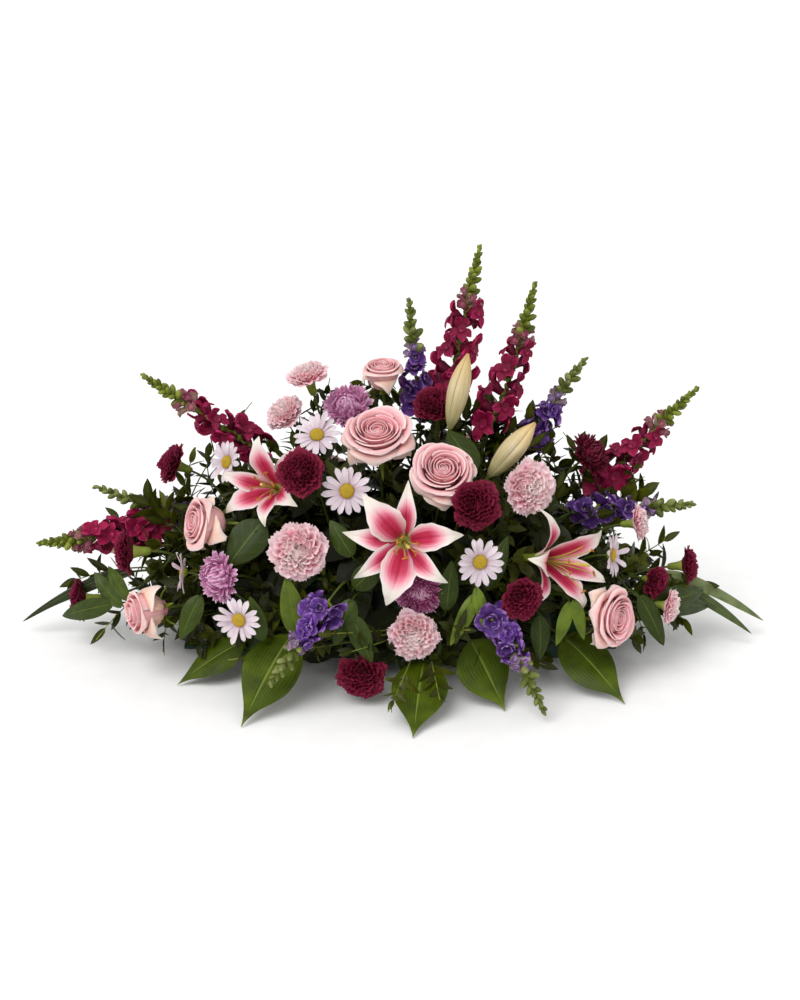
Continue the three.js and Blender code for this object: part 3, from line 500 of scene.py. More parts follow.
def grow_rose(parts, place, rng, node):
    across, along = grid(12, 13)
    turn = rng.uniform(0, TAU)
    layers = ROSE_FORMS.get(node, ROSE_OPEN)
    deep = layers[0][3] / ROSE_OPEN[0][3]
    add_turned(parts["petals"], place, [(r, deep * h) for r, h in ROSE_HEART], 20, 0.2)
    for k, (count, base, rim, top, lip, drop, half) in enumerate(layers):
        outer = k / (len(layers) - 1)
        turn += ROSE_TURN
        for i in range(count):
            middle = turn + TAU * i / count + rng.normal(0, 0.1)
            grown = rng.normal(0, 0.015 + 0.02 * outer)
            point = 0.12 * outer**2 * np.exp(-((across - rng.normal(0, 0.15)) / 0.24) ** 2)
            reach = along * (1 - (0.04 + 0.17 * outer) * abs(across) ** 2.6 + point)
            curve = bezier([
                (0.04, -0.6), (0.75 * base + 0.16, -0.62), (base + 0.06, -0.16),
                (0.6 * base + 0.4 * rim, 0.55 * top), (rim, 0.98 * top + 0.02),
                (rim + 0.6 * lip, top + 0.3 * lip), (rim + lip + grown, top - drop + grown)], reach)
            wave = (0.01 + 0.03 * outer) * along**3 * ripple(across, 2.5, 5, rng)
            radius = curve[..., 0] * (1 + 0.17 * across * (1 - 0.75 * outer)) + wave
            slope = 0.04 * across * (1 - outer) - 0.1 * outer * across**2
            height = curve[..., 1] + 0.6 * wave + slope * along**4
            angle = middle - math.radians(half) * across
            top_points = np.stack([radius * np.cos(angle), radius * np.sin(angle), height], -1)
            add_sheet(parts["petals"], place.put(top_points), across, along, 0.7, rng.uniform(0, 1), outer)
    add_turned(parts["green"], place, ROSE_HIP, 10, 0.4)
    add_sepals(parts["green"], place, rng)


# Sepals: how many, how far out and how high they start, their length and width.
SEPALS = (5, 0.16, -0.6, 0.66, 0.2)


def add_sepals(growth, place, rng):
    """Pointed green leaves that spread from under a rose and droop."""
    count, radius, height, length, width = SEPALS
    across, along = grid(8, 5)
    start = rng.uniform(0, TAU)
    for i in range(count):
        out, side = spoke(start + TAU * i / count)
        droop = rng.uniform(0.1, 0.9)
        path = bezier([
            radius * out + height * UP, (radius + 0.3 * length) * out + (height + 0.1) * UP,
            (radius + 0.7 * length) * out + (height + 0.1 - 0.3 * droop) * UP,
            (radius + length * 0.9) * out + (height + 0.1 - droop * 0.7) * UP], along)
        half = width / 2 * (1 - along**1.6) + 0.01
        top = surface(path, half, across, side, 0.03 * across**2, UP)
        add_sheet(growth, place.put(top), across, along, 0.5, rng.uniform(0.2, 0.6))


# Carnations. A layer is how many petals, the radius and height of their tips, their width there, how many
# folds they have and how deep. The outermost is first.
CARNATION_LAYERS = [
    (6, 1.00, -0.14, 1.15, 3.0, 0.035),
    (6, 0.97, 0.01, 1.05, 3.2, 0.055),
    (6, 0.84, 0.15, 0.95, 3.6, 0.085),
    (5, 0.68, 0.26, 0.95, 4.0, 0.10),
    (5, 0.50, 0.34, 0.75, 3.8, 0.11),
    (4, 0.32, 0.39, 0.64, 3.6, 0.11),
    (3, 0.14, 0.41, 0.52, 3.2, 0.10),
]
CARNATION_HEART = [(0.1, -0.45), (0.4, -0.3), (0.6, -0.08), (0.52, 0.06), (0.3, 0.16), (0.08, 0.2)]
CARNATION_CALYX = [(0.05, -1.14), (0.15, -1.08), (0.2, -0.9), (0.21, -0.7), (0.25, -0.5), (0.3, -0.36)]
CARNATION_COLUMNS = 21
CARNATION_TURN = 0.47


def grow_carnation(parts, place, rng):
    across, along = grid(5, CARNATION_COLUMNS)
    serration = 0.016 * (-1.0) ** np.arange(CARNATION_COLUMNS)
    turn = rng.uniform(0, TAU)
    for k, (count, radius, height, width, folds, depth) in enumerate(CARNATION_LAYERS):
        inner = k / (len(CARNATION_LAYERS) - 1)
        turn += CARNATION_TURN
        for i in range(count):
            out, side = spoke(turn + TAU * i / count + rng.normal(0, 0.14))
            tip = radius * rng.normal(1, 0.04) * out + (height + rng.normal(0, 0.04)) * UP
            teeth = (serration + rng.normal(0, 0.012, CARNATION_COLUMNS)) * along**5
            wander = 0.05 * ripple(across, 2, 4, rng) * along**2
            run = along + teeth + wander - (0.2 - 0.1 * inner) * across**2 * along
            upright = inner**0.7
            bend = radius * (0.36 + 0.5 * upright) * out + (height * 0.5 + 0.03 - 0.2 * upright) * UP
            path = bezier([0.06 * out - 0.5 * UP, 0.16 * out - 0.3 * UP, bend, tip], run)
            rise = unit(np.cross(side, tip - bend))
            half = 0.05 + width / 2 * along**1.15
            phase = rng.uniform(0, TAU)
            fold = np.sin(math.pi * folds * across + phase + 0.5 * along)
            pinch = 0.45 * depth * np.cos(math.pi * folds * across + phase) * along**3
            ruffle = along**1.5 * depth * fold + 0.1 * across**2 * along * inner
            top = surface(path, half, across, side, ruffle, rise) + pinch[..., None] * side
            add_sheet(parts["petals"], place.put(top), across, along, 0.5, rng.uniform(0, 1), 1 - inner)
    add_turned(parts["petals"], place, CARNATION_HEART, 14, 0.2, 0.1)
    add_turned(parts["green"], place, CARNATION_CALYX, 10, 0.7, 1.0)


# Chrysanthemums: how many petals, their width and how much they curl inward. A petal is a trough.
MUM_FORMS = {
    "mum_centre": (250, 0.115, 0.2),
    "mum_red_right": (150, 0.19, 0.26),
}
MUM_COMMON = (165, 0.2, 0.34)
MUM_TROUGH = np.array([(-1.0, 0.4), (0.0, -0.05), (1.0, 0.4), (0.0, -0.4)])
MUM_HEART = [(0.1, -0.5), (0.5, -0.42), (0.64, -0.16), (0.56, 0.02), (0.36, 0.16), (0.1, 0.24)]
MUM_BASE = [(0.06, -0.56), (0.2, -0.52), (0.4, -0.44), (0.5, -0.3), (0.3, -0.2)]


def grow_mum(parts, place, rng, node):
    count, wide, curl = MUM_FORMS.get(node, MUM_COMMON)
    t = np.linspace(0, 1, 7)
    outline = (0.45 + 0.55 * t**0.6) * np.sqrt(1.02 - t**5)
    for i in range(count):
        share = (i + 0.5) / count
        tilt = math.acos(max(1 - 1.3 * share, -1))
        out, side = spoke(GOLDEN_TURN * i + rng.normal(0, 0.16))
        way = math.sin(tilt) * out + 0.6 * math.cos(tilt) * UP
        inward = unit(math.sin(tilt) * UP - math.cos(tilt) * out)
        reach = rng.normal(1, 0.04) + 0.07 * (share > 0.8)
        lean = (curl + rng.normal(0, 0.05)) * (1.1 - 1.2 * share)
        root = 0.2 * way - 0.2 * UP
        bend = 0.78 * reach * way - lean * inward
        tip = (reach - 0.3 * abs(lean)) * way + 0.45 * lean * inward
        path = bezier([root, bend, tip], t)
        width = wide * (0.65 + 0.45 * share) / 2 * outline
        up = units(np.cross(side, np.gradient(path, axis=0)))
        section = MUM_TROUGH[:, :1] * side + MUM_TROUGH[:, 1:] * up[:, None]
        points = path[:, None] + width[:, None, None] * section
        add_rings(parts["petals"], place.put(points), rng.uniform(0, 1), share)
    add_turned(parts["petals"], place, MUM_HEART, 16, 0.1)
    add_turned(parts["green"], place, MUM_BASE, 12, 0.5)


# Daisies: rays in two whorls round a domed disc of tiny florets.
DAISY_RAYS = 16
DISC_FLORETS = 120
DISC = 0.3
DAISY_DOME = [(0.12, -0.14), (0.27, -0.06), (DISC, 0.03), (0.25, 0.1), (0.15, 0.13), (0.04, 0.14)]
DAISY_CUP = [(0.05, -0.26), (0.14, -0.22), (0.24, -0.13), (0.26, -0.07)]
DISC_FLORET = [(0.013, -0.02), (0.017, 0.012), (0.007, 0.03)]


def grow_daisy(parts, place, rng):
    across, along = grid(8, 7)
    start = rng.uniform(0, TAU)
    curled = rng.integers(0, DAISY_RAYS, 2)
    for i in range(DAISY_RAYS):
        out, side = spoke(start + TAU * (i + rng.normal(0, 0.14)) / DAISY_RAYS)
        length = rng.normal(0.97, 0.04)
        lift = 0.07 * (i % 2) + rng.normal(0.03, 0.05) + 0.4 * (i in curled)
        arch = 0.6 * out + (0.4 * lift + 0.1) * UP
        path = bezier([0.2 * out - 0.05 * UP, arch, length * out + lift * UP], along)
        half = rng.normal(0.155, 0.01) * (0.4 + 0.6 * along**0.6) * np.sqrt(np.clip(1.01 - along**6, 0.01, 1))
        grooves = 0.018 * np.cos(across * TAU * 0.75) * along * (1 - along**6)
        notch = 0.02 * np.cos(across * TAU) * along**8
        cup = 0.03 * across**2 + rng.normal(0, 0.12) * across * along * half
        top = surface(path, half, across, side, grooves + cup, UP) + notch[..., None] * out
        add_sheet(parts["petals"], place.put(top), across, along, 0.5, rng.uniform(0, 1), 0.5 * (i % 2))
    add_turned(parts["centre"], place, DAISY_DOME, 18, 0.3)
    for i in range(DISC_FLORETS):
        share = math.sqrt((i + 0.5) / DISC_FLORETS)
        out = spoke(GOLDEN_TURN * i)[0]
        height = 0.02 + 0.12 * math.sqrt(max(1 - share**2, 0))
        spot = place.inside(DISC * share * out + height * UP, 0.6 * share * out + UP)
        add_turned(parts["centre"], spot, DISC_FLORET, 5, 0.3 + 0.7 * rng.uniform(), share)
    add_turned(parts["green"], place, DAISY_CUP, 12, 0.5)


# Lilies: each tepal's angle, reach, width and how far its tip stands forward. The inner ones are wider than
# a limit. A tepal arches out of the throat and curls back: its path is reaches and heights.
LILY_TEPALS = {
    "lily_centre": [
        (8, 0.96, 0.46, 0.2), (86, 1, 0.34, 0.1), (130, 1.02, 0.56, 0.1), (171, 1, 0.38, 0),
        (216, 1, 0.35, 0), (254, 1.04, 0.58, 0.1), (318, 0.95, 0.36, 0.2)],
    "lily_left": [
        (340, 0.84, 0.46, 0.4), (62, 1, 0.36, 0.1), (106, 0.9, 0.46, 0.5), (176, 0.9, 0.36, 0.5),
        (222, 0.98, 0.46, 0.3), (286, 0.8, 0.36, 0.5)],
    "lily_right": [
        (32, 0.8, 0.46, 0.7), (98, 1, 0.36, 0.1), (160, 0.96, 0.46, 0.3), (222, 1, 0.36, 0),
        (276, 0.86, 0.46, 0.6), (320, 0.76, 0.36, 0.8)],
}
# Then its path, its widths evenly along it, that limit and the power that the tip curves forward by.
LILY_PATH = [(0.05, -0.36), (0.2, -0.1), (0.4, 0.07), (0.6, 0.13), (0.82, 0.08), (1.0, -0.12)]
LILY_WIDTHS = [0.22, 0.44, 0.65, 0.83, 0.94, 1.0, 0.99, 0.92, 0.79, 0.63, 0.46, 0.3, 0.15, 0.02]
LILY_INNER = 0.4
LILY_FLARE = 1.5
LILY_THROAT = [(0.03, -0.66), (0.07, -0.6), (0.08, -0.44), (0.12, -0.3), (0.1, -0.22)]
STAMENS = 6
ANTHER_RADII = np.array([0.006, 0.017, 0.019, 0.017, 0.006])
PISTIL_RADII = np.array([0.02, 0.017, 0.016, 0.016, 0.016, 0.017, 0.034, 0.028])
# How far the stamens stand out of the throat.
STAMEN_REACH = {"lily_centre": 0.3, "lily_left": 0.42, "lily_right": 0.62}


def grow_lily(parts, place, rng, node):
    across, along = grid(25, 13)
    for angle, length, width, forward in LILY_TEPALS[node]:
        inner = width > LILY_INNER
        out, side = spoke(math.radians(angle))
        curve = through(LILY_PATH, along)
        half = width / 2 * through(LILY_WIDTHS, along)
        half = half * (1 + 0.035 * np.sin(along * 31 + rng.uniform(0, TAU)) * abs(across) ** 4 * inner)
        fold = 0.3 * half * abs(across) ** 1.6 * (1 - 0.7 * along)
        frill = (0.028 if inner else 0.01) * abs(across) ** 3 * np.sin(np.pi * along) * np.sin(
            along * TAU * 2.6 + rng.uniform(0, TAU) + across)
        sway = 0.03 * rng.normal() * np.sin(np.pi * along)
        twist = 0.2 * rng.normal() * across * half * along**2
        groove = -0.02 * np.exp(-(across / 0.13) ** 2) * np.sin(np.pi * along)
        rise = curve[..., 1] + forward * curve[..., 0] ** LILY_FLARE + (0.03 if inner else -0.03)
        rise = rise + fold + frill + twist + groove + 0.03 * rng.normal() * along**2
        path = (curve[..., 0] * length)[..., None] * out + sway[..., None] * side
        top = surface(path, half, across, side, rise, UP)
        add_sheet(parts["petals"], place.put(top), across, along, 0.9, rng.uniform(0, 1), inner)
    t = np.linspace(0, 1, 8)
    reach = STAMEN_REACH[node]
    for k in range(STAMENS):
        out = spoke(TAU * (k / STAMENS + 0.06) + rng.normal(0, 0.15))[0]
        end = reach * (rng.normal(0.62, 0.06) * out + UP) + np.array([0.04, -0.03, 0])
        path = bezier([0.02 * out - 0.3 * UP, 0.05 * out + 0.3 * reach * UP, end], t)
        add_tube(parts["filaments"], place.put(path), np.linspace(0.014, 0.009, 8) * place.size, 6, 0.4)
        swing = unit(np.cross(out, UP) + 0.8 * UP * rng.normal() + 0.4 * out)
        anther = np.stack([path[-1] + swing * 0.06 * s for s in (-1, -0.6, 0, 0.6, 1)])
        add_tube(parts["anthers"], place.put(anther), ANTHER_RADII * place.size)
    pistil = bezier([-0.3 * UP, 0.1 * UP, (reach + 0.12) * UP + np.array([0.07, -0.02, 0])], t)
    add_tube(parts["filaments"], place.put(pistil), PISTIL_RADII * place.size, 6, 0.9)
    add_turned(parts["green"], place, LILY_THROAT, 8, 0.5)


# Each kind of head: how far its neck is behind its middle, as a share of the half width, and its stem.
KINDS = {
    "rose": (0.84, 2.8),
    "carnation_pink": (1.1, 2.2),
    "carnation_red": (1.1, 2.2),
    "mum": (0.5, 2.4),
    "mum_red": (0.5, 2.4),
    "daisy": (0.2, 1.8),
    "lily": (0.62, 3.0),
}
# How far a neck is sunk into its head, and what share of the solid stem's radius the fine one has.
NECK_SINK = 3
STEM_SHARE = 0.66


def cad_points(node):
    points = np.empty(len(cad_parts[node].data.vertices) * 3)
    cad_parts[node].data.vertices.foreach_get("co", points)
    return points.reshape(-1, 3) / MM


def stem_root(node):
    """Where a node's solid stem ends inside the foam, and the point where it meets its straight run."""
    points = cad_points(node)
    within = np.all((points > FOAM_LOW - 0.5) & (points < FOAM_HIGH + 0.5), axis=1)
    root = points[within].mean(0)
    away = np.linalg.norm(points - root, axis=1)
    near = np.sort(away[~within])[0]
    return root, points[~within & (away < near + 4)].mean(0)


# The path of each node's own stem, and the point of it that a second head's stem joins.
stems = {}
FORK = 4


def grow_stem(growth, node, neck, back, radius):
    """A stem from a neck to its hole in the foam. The second head of a spray joins the first one's stem."""
    if node in stems:
        fork = stems[node][FORK]
        bend = neck + back * 0.4 * np.linalg.norm(neck - fork)
        path = bezier([neck, bend, fork], np.linspace(0, 1, 8))
    else:
        root, outside = stem_root(node)
        reach = 0.4 * np.linalg.norm(neck - outside)
        arrive = outside + unit(outside - root) * reach
        curve = bezier([neck, neck + back * reach, arrive, outside], np.linspace(0, 1, 13))
        path = np.concatenate([curve, [root]])
        stems[node] = path
    add_tube(growth, path, np.linspace(1, 1.15, len(path)) * radius * STEM_SHARE, 8, 0.35)


# Spikes: how many open florets, half open ones and buds, how big they are, and the stem's radius.
SPIKE_KINDS = {
    "snapdragon": {"florets": 13, "floret": 20.5, "half_open": 7, "buds": 26, "bud": 15.0, "stem": 2.4},
    "stock": {"florets": 14, "floret": 17.0, "half_open": 6, "buds": 19, "bud": 16.5, "stem": 2.2},
}


def add_lobe(growth, place, root, way, length, width, curl, tone, layer, rng):
    """A rounded, ruffled lobe of a floret: it leaves its root one way and curls back."""
    across, along = grid(6, 8)
    way = unit(way)
    side = unit(np.cross(way, UP))
    outward = np.cross(side, way)
    curve = 0.3 * length * along - curl * length * along**2
    path = root + (length * along)[..., None] * way + curve[..., None] * outward
    half = width / 2 * (0.4 + 0.7 * np.sin(np.pi * (0.1 + 0.6 * along)))
    half = half * np.sqrt(np.clip(1.04 - along**5, 0.05, 1))
    ruffle = 0.13 * width * ripple(across, 5, 8, rng) * along**1.5
    top = surface(path, half, across, side, ruffle + 0.12 * width * across**2, outward)
    add_sheet(growth, place.put(top), across, along, 0.5, tone, layer)


# A snapdragon's tube: radius, height and how much taller than wide, and how far along a petal it counts as.
# Then the lips' lobes: turn, length, width, how far each curls back and how far it stands forward.
SNAPDRAGON_TUBE = [
    (0.13, 0.0, 1.0), (0.22, 0.16, 1.1), (0.24, 0.5, 1.25), (0.3, 0.82, 1.35), (0.28, 1.0, 1.3)]
TUBE_SHARES = [0, 0.15, 0.35, 0.55, 0.65]
PALATE = [(0.5, -0.3), (0.8, 0.1), (0.6, 0.4), (0.25, 0.55)]
SNAPDRAGON_LOBES = [
    (60, 0.95, 0.85, 0.25, 1.0), (120, 0.95, 0.85, 0.25, 1.0), (205, 0.7, 0.7, 0.8, 0.5),
    (270, 0.8, 0.75, 0.9, 0.5), (335, 0.7, 0.7, 0.8, 0.5)]
FLORET_CUP = [(0.2, -0.08), (0.26, 0.06), (0.22, 0.16)]


def grow_snapdragon_floret(parts, place, rng, opening):
    """A tube with two lips: two lobes stand up, three fold down, and a palate swells between them."""
    tone = rng.uniform(0, 1)
    rings = [place.put(ring(r, h, 9, tall)) for r, h, tall in SNAPDRAGON_TUBE]
    add_rings(parts["petals"], rings, tone, along=TUBE_SHARES)
    palate = place.inside((0, -0.16, 0.9), (0, -0.5, 1), 0.24)
    add_turned(parts["petals"], palate, PALATE, 8, tone, 0.9)
    for turn, length, width, curl, forward in SNAPDRAGON_LOBES:
        out = spoke(math.radians(turn + rng.normal(0, 9)))[0]
        way = out + (forward + rng.normal(0, 0.2)) * UP
        root = out * (0.2, 0.26, 0) + 0.86 * UP
        size = opening * rng.normal(1, 0.1)
        add_lobe(parts["petals"], place, root, way, length * size, width * size, curl, tone, 1.0, rng)
    add_turned(parts["green"], place, FLORET_CUP, 6, 0.5)


# Stock florets, the calyxes of both kinds, and their buds: radii and heights.
STOCK_LOBES = 4
STOCK_CUP = [(0.1, 0.0), (0.15, 0.3), (0.16, 0.6), (0.05, 0.66)]
BUD_FORM = [(0.25, 0.0), (0.8, 0.14), (1.0, 0.42), (0.9, 0.7), (0.5, 0.92), (0.12, 1.0)]
BUD_CUP = [(0.5, -0.1), (0.95, 0.1), (0.8, 0.22)]
BUD_WIDTH = 0.3
HALF_OPEN_TUBE = [(0.14, 0.0), (0.2, 0.2), (0.22, 0.5), (0.27, 0.8), (0.2, 0.96)]
HALF_OPEN_LOBES = 4


def grow_stock_floret(parts, place, rng, opening):
    """Four rounded, crinkled petals in a cross, with a crowded second cross within them."""
    tone = rng.uniform(0, 1)
    start = rng.uniform(0, TAU)
    for k in range(2 * STOCK_LOBES):
        inner = k >= STOCK_LOBES
        out = spoke(start + TAU * k / STOCK_LOBES + 0.7 * inner + rng.normal(0, 0.2))[0]
        way = out + (0.3 + 0.9 * inner + rng.normal(0, 0.2)) * UP
        size = (0.62 if inner else 1.0) * opening * rng.normal(1, 0.12)
        root = 0.08 * out + 0.6 * UP
        add_lobe(parts["petals"], place, root, way, size, size * 1.05, 0.3, tone, 1.0 - 0.7 * inner, rng)
    add_turned(parts["green"], place, STOCK_CUP, 6, 0.5)


def grow_closed_bud(parts, place, tone):
    """A plump rounded bud, one long, in its calyx."""
    for role, form, sides, own in (("buds", BUD_FORM, 8, tone), ("green", BUD_CUP, 6, 0.3)):
        add_turned(parts[role], place, [(r * BUD_WIDTH, h) for r, h in form], sides, own)


def grow_half_open(parts, place, rng):
    """A floret that has only begun to open: a swollen tube with short folded lobes at its end."""
    tone = rng.uniform(0, 1)
    add_turned(parts["half_open"], place, HALF_OPEN_TUBE, 8, tone)
    for k in range(HALF_OPEN_LOBES):
        out = spoke(TAU * k / HALF_OPEN_LOBES + rng.normal(0, 0.3))[0]
        add_lobe(parts["half_open"], place, 0.14 * out + 0.74 * UP, out + UP, 0.42, 0.42, 0.1, tone, 1.0, rng)
    add_turned(parts["green"], place, FLORET_CUP, 6, 0.3)


def grow_spike(parts, kind, tip, foot, buds, rng):
    """Florets, half open ones and buds up a stalk. Gives the stalk's lower end, the way down and its path."""
    shape = SPIKE_KINDS[kind]
    base, end = at_depth(foot), at_depth(tip)
    length = np.linalg.norm(end - base)
    along = unit(end - base)
    stalk = Place(base, along)
    bend = 0.02 * length * rng.normal(size=2)
    share = np.linspace(0, 1, 9)
    path = base - 4 * along + (share * (length + 2))[:, None] * along
    path = path + (np.sin(np.pi * share)[:, None] * (bend @ stalk.axes[:2]))
    add_tube(parts["green"], path, np.linspace(shape["stem"] * 0.8, 0.9, 9), 7, 0.6)

    def branch(height, turn, lean, size):
        """A place on the stalk for a floret, with its upper side turned up."""
        run = height / length
        out = spoke(turn)[0] * math.cos(lean) + UP * math.sin(lean)
        middle = np.array([*(bend * math.sin(math.pi * run)), height])
        spot = Place(stalk.put(middle), out @ stalk.axes)
        upward = unit(along - spot.forward * (along @ spot.forward))
        spot.axes = np.stack([np.cross(upward, spot.forward), upward, spot.forward]) * size
        spot.size = size
        return spot

    grow_floret = grow_snapdragon_floret if kind == "snapdragon" else grow_stock_floret
    open_length = length * (1 - buds)
    florets, half_open = shape["florets"], shape["half_open"]
    for i in range(florets):
        run = i / florets
        size = shape["floret"] * (1.05 - 0.25 * run) * rng.normal(1, 0.1)
        lean = 0.25 + 0.4 * run + rng.normal(0, 0.2)
        height = open_length * run + rng.normal(0, 2)
        turn = GOLDEN_TURN * i + rng.normal(0, 0.25)
        grow_floret(parts, branch(height, turn, lean, size), rng, 1 - 0.2 * run)
    for i in range(half_open):
        run = i / half_open
        height = open_length + 0.12 * length * (run - 0.2)
        turn = GOLDEN_TURN * (florets + i) + rng.normal(0, 0.2)
        size = shape["floret"] * (0.9 - 0.25 * run)
        grow_half_open(parts, branch(height, turn, 0.5 + 0.2 * run, size), rng)
    for i in range(shape["buds"]):
        run = i / shape["buds"]
        size = shape["bud"] * (1 - 0.62 * run) * rng.normal(1, 0.06)
        height = min(open_length + length * buds * (0.12 + 0.86 * run**0.8), length - 3)
        spot = branch(height, GOLDEN_TURN * i + rng.normal(0, 0.2), 0.45 + 0.7 * run, size)
        grow_closed_bud(parts, spot, rng.uniform(0.1, 1))
    grow_closed_bud(parts, Place(end - 7 * along, along, 8), 0.8)
    return base - 4 * along, -along, path


# A lily bud: its radii, as shares of its width, evenly along it.
LILY_BUD = [0.12, 0.26, 0.36, 0.43, 0.48, 0.5, 0.49, 0.44, 0.35, 0.22, 0.07]
BUD_SIDES = 30
BUD_RECEPTACLE = [(1.6, -6), (2.4, -2), (3.0, 0), (2.6, 3)]


def grow_lily_bud(parts, tip, foot, width):
    """Three ridges with deep grooves between them. Across is how far a point is up a ridge."""
    base, end = at_depth(foot), at_depth(tip)
    length = np.linalg.norm(end - base)
    place = Place(base, end - base)
    share = np.linspace(0, 1, 22)
    ridge = np.sqrt(abs(np.cos(1.5 * TAU * np.arange(BUD_SIDES) / BUD_SIDES)))
    rings = [
        place.put(ring(r * width * (1 - 0.26 * (1 - ridge) * s**0.4 + 0.05 * ridge), s * length, BUD_SIDES))
        for s, r in zip(share, through(LILY_BUD, share))]
    add_rings(parts["petals"], rings, 0.5, along=share, across=2 * ridge - 1)
    add_turned(parts["green"], place, BUD_RECEPTACLE, 8, 0.6)
    return base + 2 * unit(end - base), -unit(end - base)


# Broad leaves: their widths, as shares of the full one, evenly along them, and how far they arch.
BROAD_WIDTHS = [0.06, 0.42, 0.7, 0.88, 1.0, 1.06, 1.08, 1.04, 0.94, 0.77, 0.54, 0.3, 0.12, 0.01]
LEAF_ARCH = 0.1
# The radius of the stem of a leaf or a lily bud.
LEAF_STEM = 2.2


def blade_axes(way, tip_over):
    """The way across a blade and its normal. Tip over turns its face a little to the front or the back."""
    side = unit(np.cross(way, UP))
    side = unit(side + tip_over * side[1] * UP)
    normal = unit(np.cross(side, way))
    return side, normal


def grow_blade(growth, path, half, side, normal, across, along, tone, rng, cup, wave):
    """A thin leaf along a path: its edges bend away from its face by cup, and wave."""
    bent = -cup * half * across**2 - 1.2 * np.exp(-(across / 0.09) ** 2) * (half > 4)
    swell = wave * np.sin(along * 8 + 2.2 * across + rng.uniform(0, TAU)) * across**2 * np.sin(np.pi * along)
    add_sheet(growth, surface(path, half, across, side, bent + swell, normal), across, along, 0.7, tone)


def grow_broad_leaf(parts, foot, tip, width, rng):
    base, end = at_depth(foot), at_height(tip)
    way = end - base
    crown = base + 0.4 * way
    crown[2] = base[2] * 0.6 + end[2] * 0.4 + LEAF_ARCH * np.linalg.norm(way)
    across, along = grid(31, 15)
    path = bezier([base, crown, end], along)
    half = width / 2 * through(BROAD_WIDTHS, along)
    axes = blade_axes(way, tip_over=0.55)
    grow_blade(parts["blade"], path, half, *axes, across, along, rng.uniform(0, 1), rng, cup=0.14, wave=2.2)
    return base + 0.04 * way, -unit(way)


# Strap leaves at the two ends: what share of their stem carries the blade, and how wide it is.
STRAP_SHARE = 0.55
STRAP_WIDTH = 21


def grow_strap(parts, points, rng):
    """A long narrow leaf on the last part of a stem."""
    across, along = grid(25, 7)
    share = 1 - STRAP_SHARE * (1 - along)
    path = bezier(points, share)
    axes = blade_axes(points[-1] - points[0], tip_over=0.8)
    half = STRAP_WIDTH / 2 * np.sin(np.pi * (0.04 + 0.96 * along) ** 0.75) ** 0.7
    grow_blade(parts["strap"], path, half, *axes, across, along, rng.uniform(0, 1), rng, cup=0.25, wave=1.0)
    add_tube(parts["stem"], bezier(points, np.linspace(0, 1 - 0.9 * STRAP_SHARE, 10)), 1.5, 6, 0.4)


# Sprigs: the steps along a stem, its radius at both ends, and the first share of it that may carry leaves.
SPRIG_STEPS = 13
SPRIG_STEM = (1.5, 0.6)
FIRST_LEAF = 0.18


def grow_sprig(parts, curve_points, leaf, rng, pairs, slender, leafy=None):
    """A stem with leaves in pairs and one at its tip. Leaf is the length of its biggest leaves, slender their
    width over it, and leafy how much of the stem carries leaves."""
    path = bezier(curve_points, np.linspace(0, 1, SPRIG_STEPS + 1))
    length = np.linalg.norm(np.diff(path, axis=0), axis=1).sum()
    add_tube(parts["green"], path, np.linspace(*SPRIG_STEM, SPRIG_STEPS + 1), 4, 0.4)
    reach = leaf * (0.34 * pairs + 0.5) if leafy is None else leafy
    start = max(1 - reach / length, FIRST_LEAF)
    side, normal = path_axes(path)
    ahead = units(np.gradient(path, axis=0))
    leaves = []
    twist = rng.uniform(0, TAU)
    for i in range(pairs):
        run = (start + (0.97 - start) * i / pairs) * SPRIG_STEPS
        j = int(run)
        spot = path[j] + (run - j) * (path[min(j + 1, SPRIG_STEPS)] - path[j])
        for hand in (0, 1):
            turn = twist + math.pi * hand + (math.pi / 2) * (i % 2) + rng.normal(0, 0.3)
            radial = math.cos(turn) * side[j] + math.sin(turn) * normal[j]
            lean = rng.normal(0.9, 0.15)
            way = math.cos(lean) * ahead[j] + math.sin(lean) * radial
            face = math.sin(lean) * ahead[j] - math.cos(lean) * radial
            leaves.append((spot, way, face, leaf * (1 - 0.35 * i / pairs) * rng.normal(1, 0.1)))
    leaves.append((path[-2], ahead[-1], normal[-1], leaf * 0.75))
    bases, ways, faces_to, lengths = map(np.array, zip(*leaves))
    tones = np.clip(rng.uniform(0, 0.7) + rng.uniform(0, 0.35, len(leaves)), 0, 1)
    bends = rng.normal(0.16, 0.12, len(leaves))
    parts["leaves"].append((bases, ways, faces_to, lengths, lengths * slender, bends, tones))


# Blooms that leaves keep clear of: middle, forward and half width. Then what share of a lily's half width
# counts, and the half width of a spike where its florets are open and where they aren't.
blooms = []
LILY_ROOM = 0.78
SPIKE_ROOM = (15, 9)
# The room of a bloom, in half widths: how far back, how far in front and how far aside leaves keep clear.
ROOM_BACK, ROOM_FRONT, ROOM_ASIDE = 0.35, 2.2, 0.9


def clear_of_blooms(points, margin):
    """Which points aren't in or right in front of a bloom."""
    free = np.ones(len(points), bool)
    for middle, forward, half in blooms:
        gap = points - middle
        ahead = gap @ forward
        aside = np.linalg.norm(gap - ahead[:, None] * forward, axis=1)
        level = (ahead > -ROOM_BACK * half) & (ahead < ROOM_FRONT * half)
        free &= ~(level & (aside < ROOM_ASIDE * half + margin))
    return free


def above_hem(spots, hem):
    """Which points are higher than the hem, or behind the front where it counts."""
    return (spots[..., 2] > hem) | (spots[..., 1] > HEM_DEPTH)


def finish_leaves(batches, margin=2, rings=LEAF_RINGS, hem=0.0):
    """The batches of leaves, without those that would cover a bloom or hang under the hem in front."""
    growth = Growth()
    for batch in batches:
        bases, ways, lengths = batch[0], units(batch[1]), batch[3]
        free = np.ones(len(bases), bool)
        for share in (0.45, 0.95):
            spots = bases + ways * (share * lengths)[:, None]
            free &= clear_of_blooms(spots, margin) & above_hem(spots, hem)
        if free.any():
            add_leaves(growth, *(values[free] for values in batch), rings=rings)
    return growth


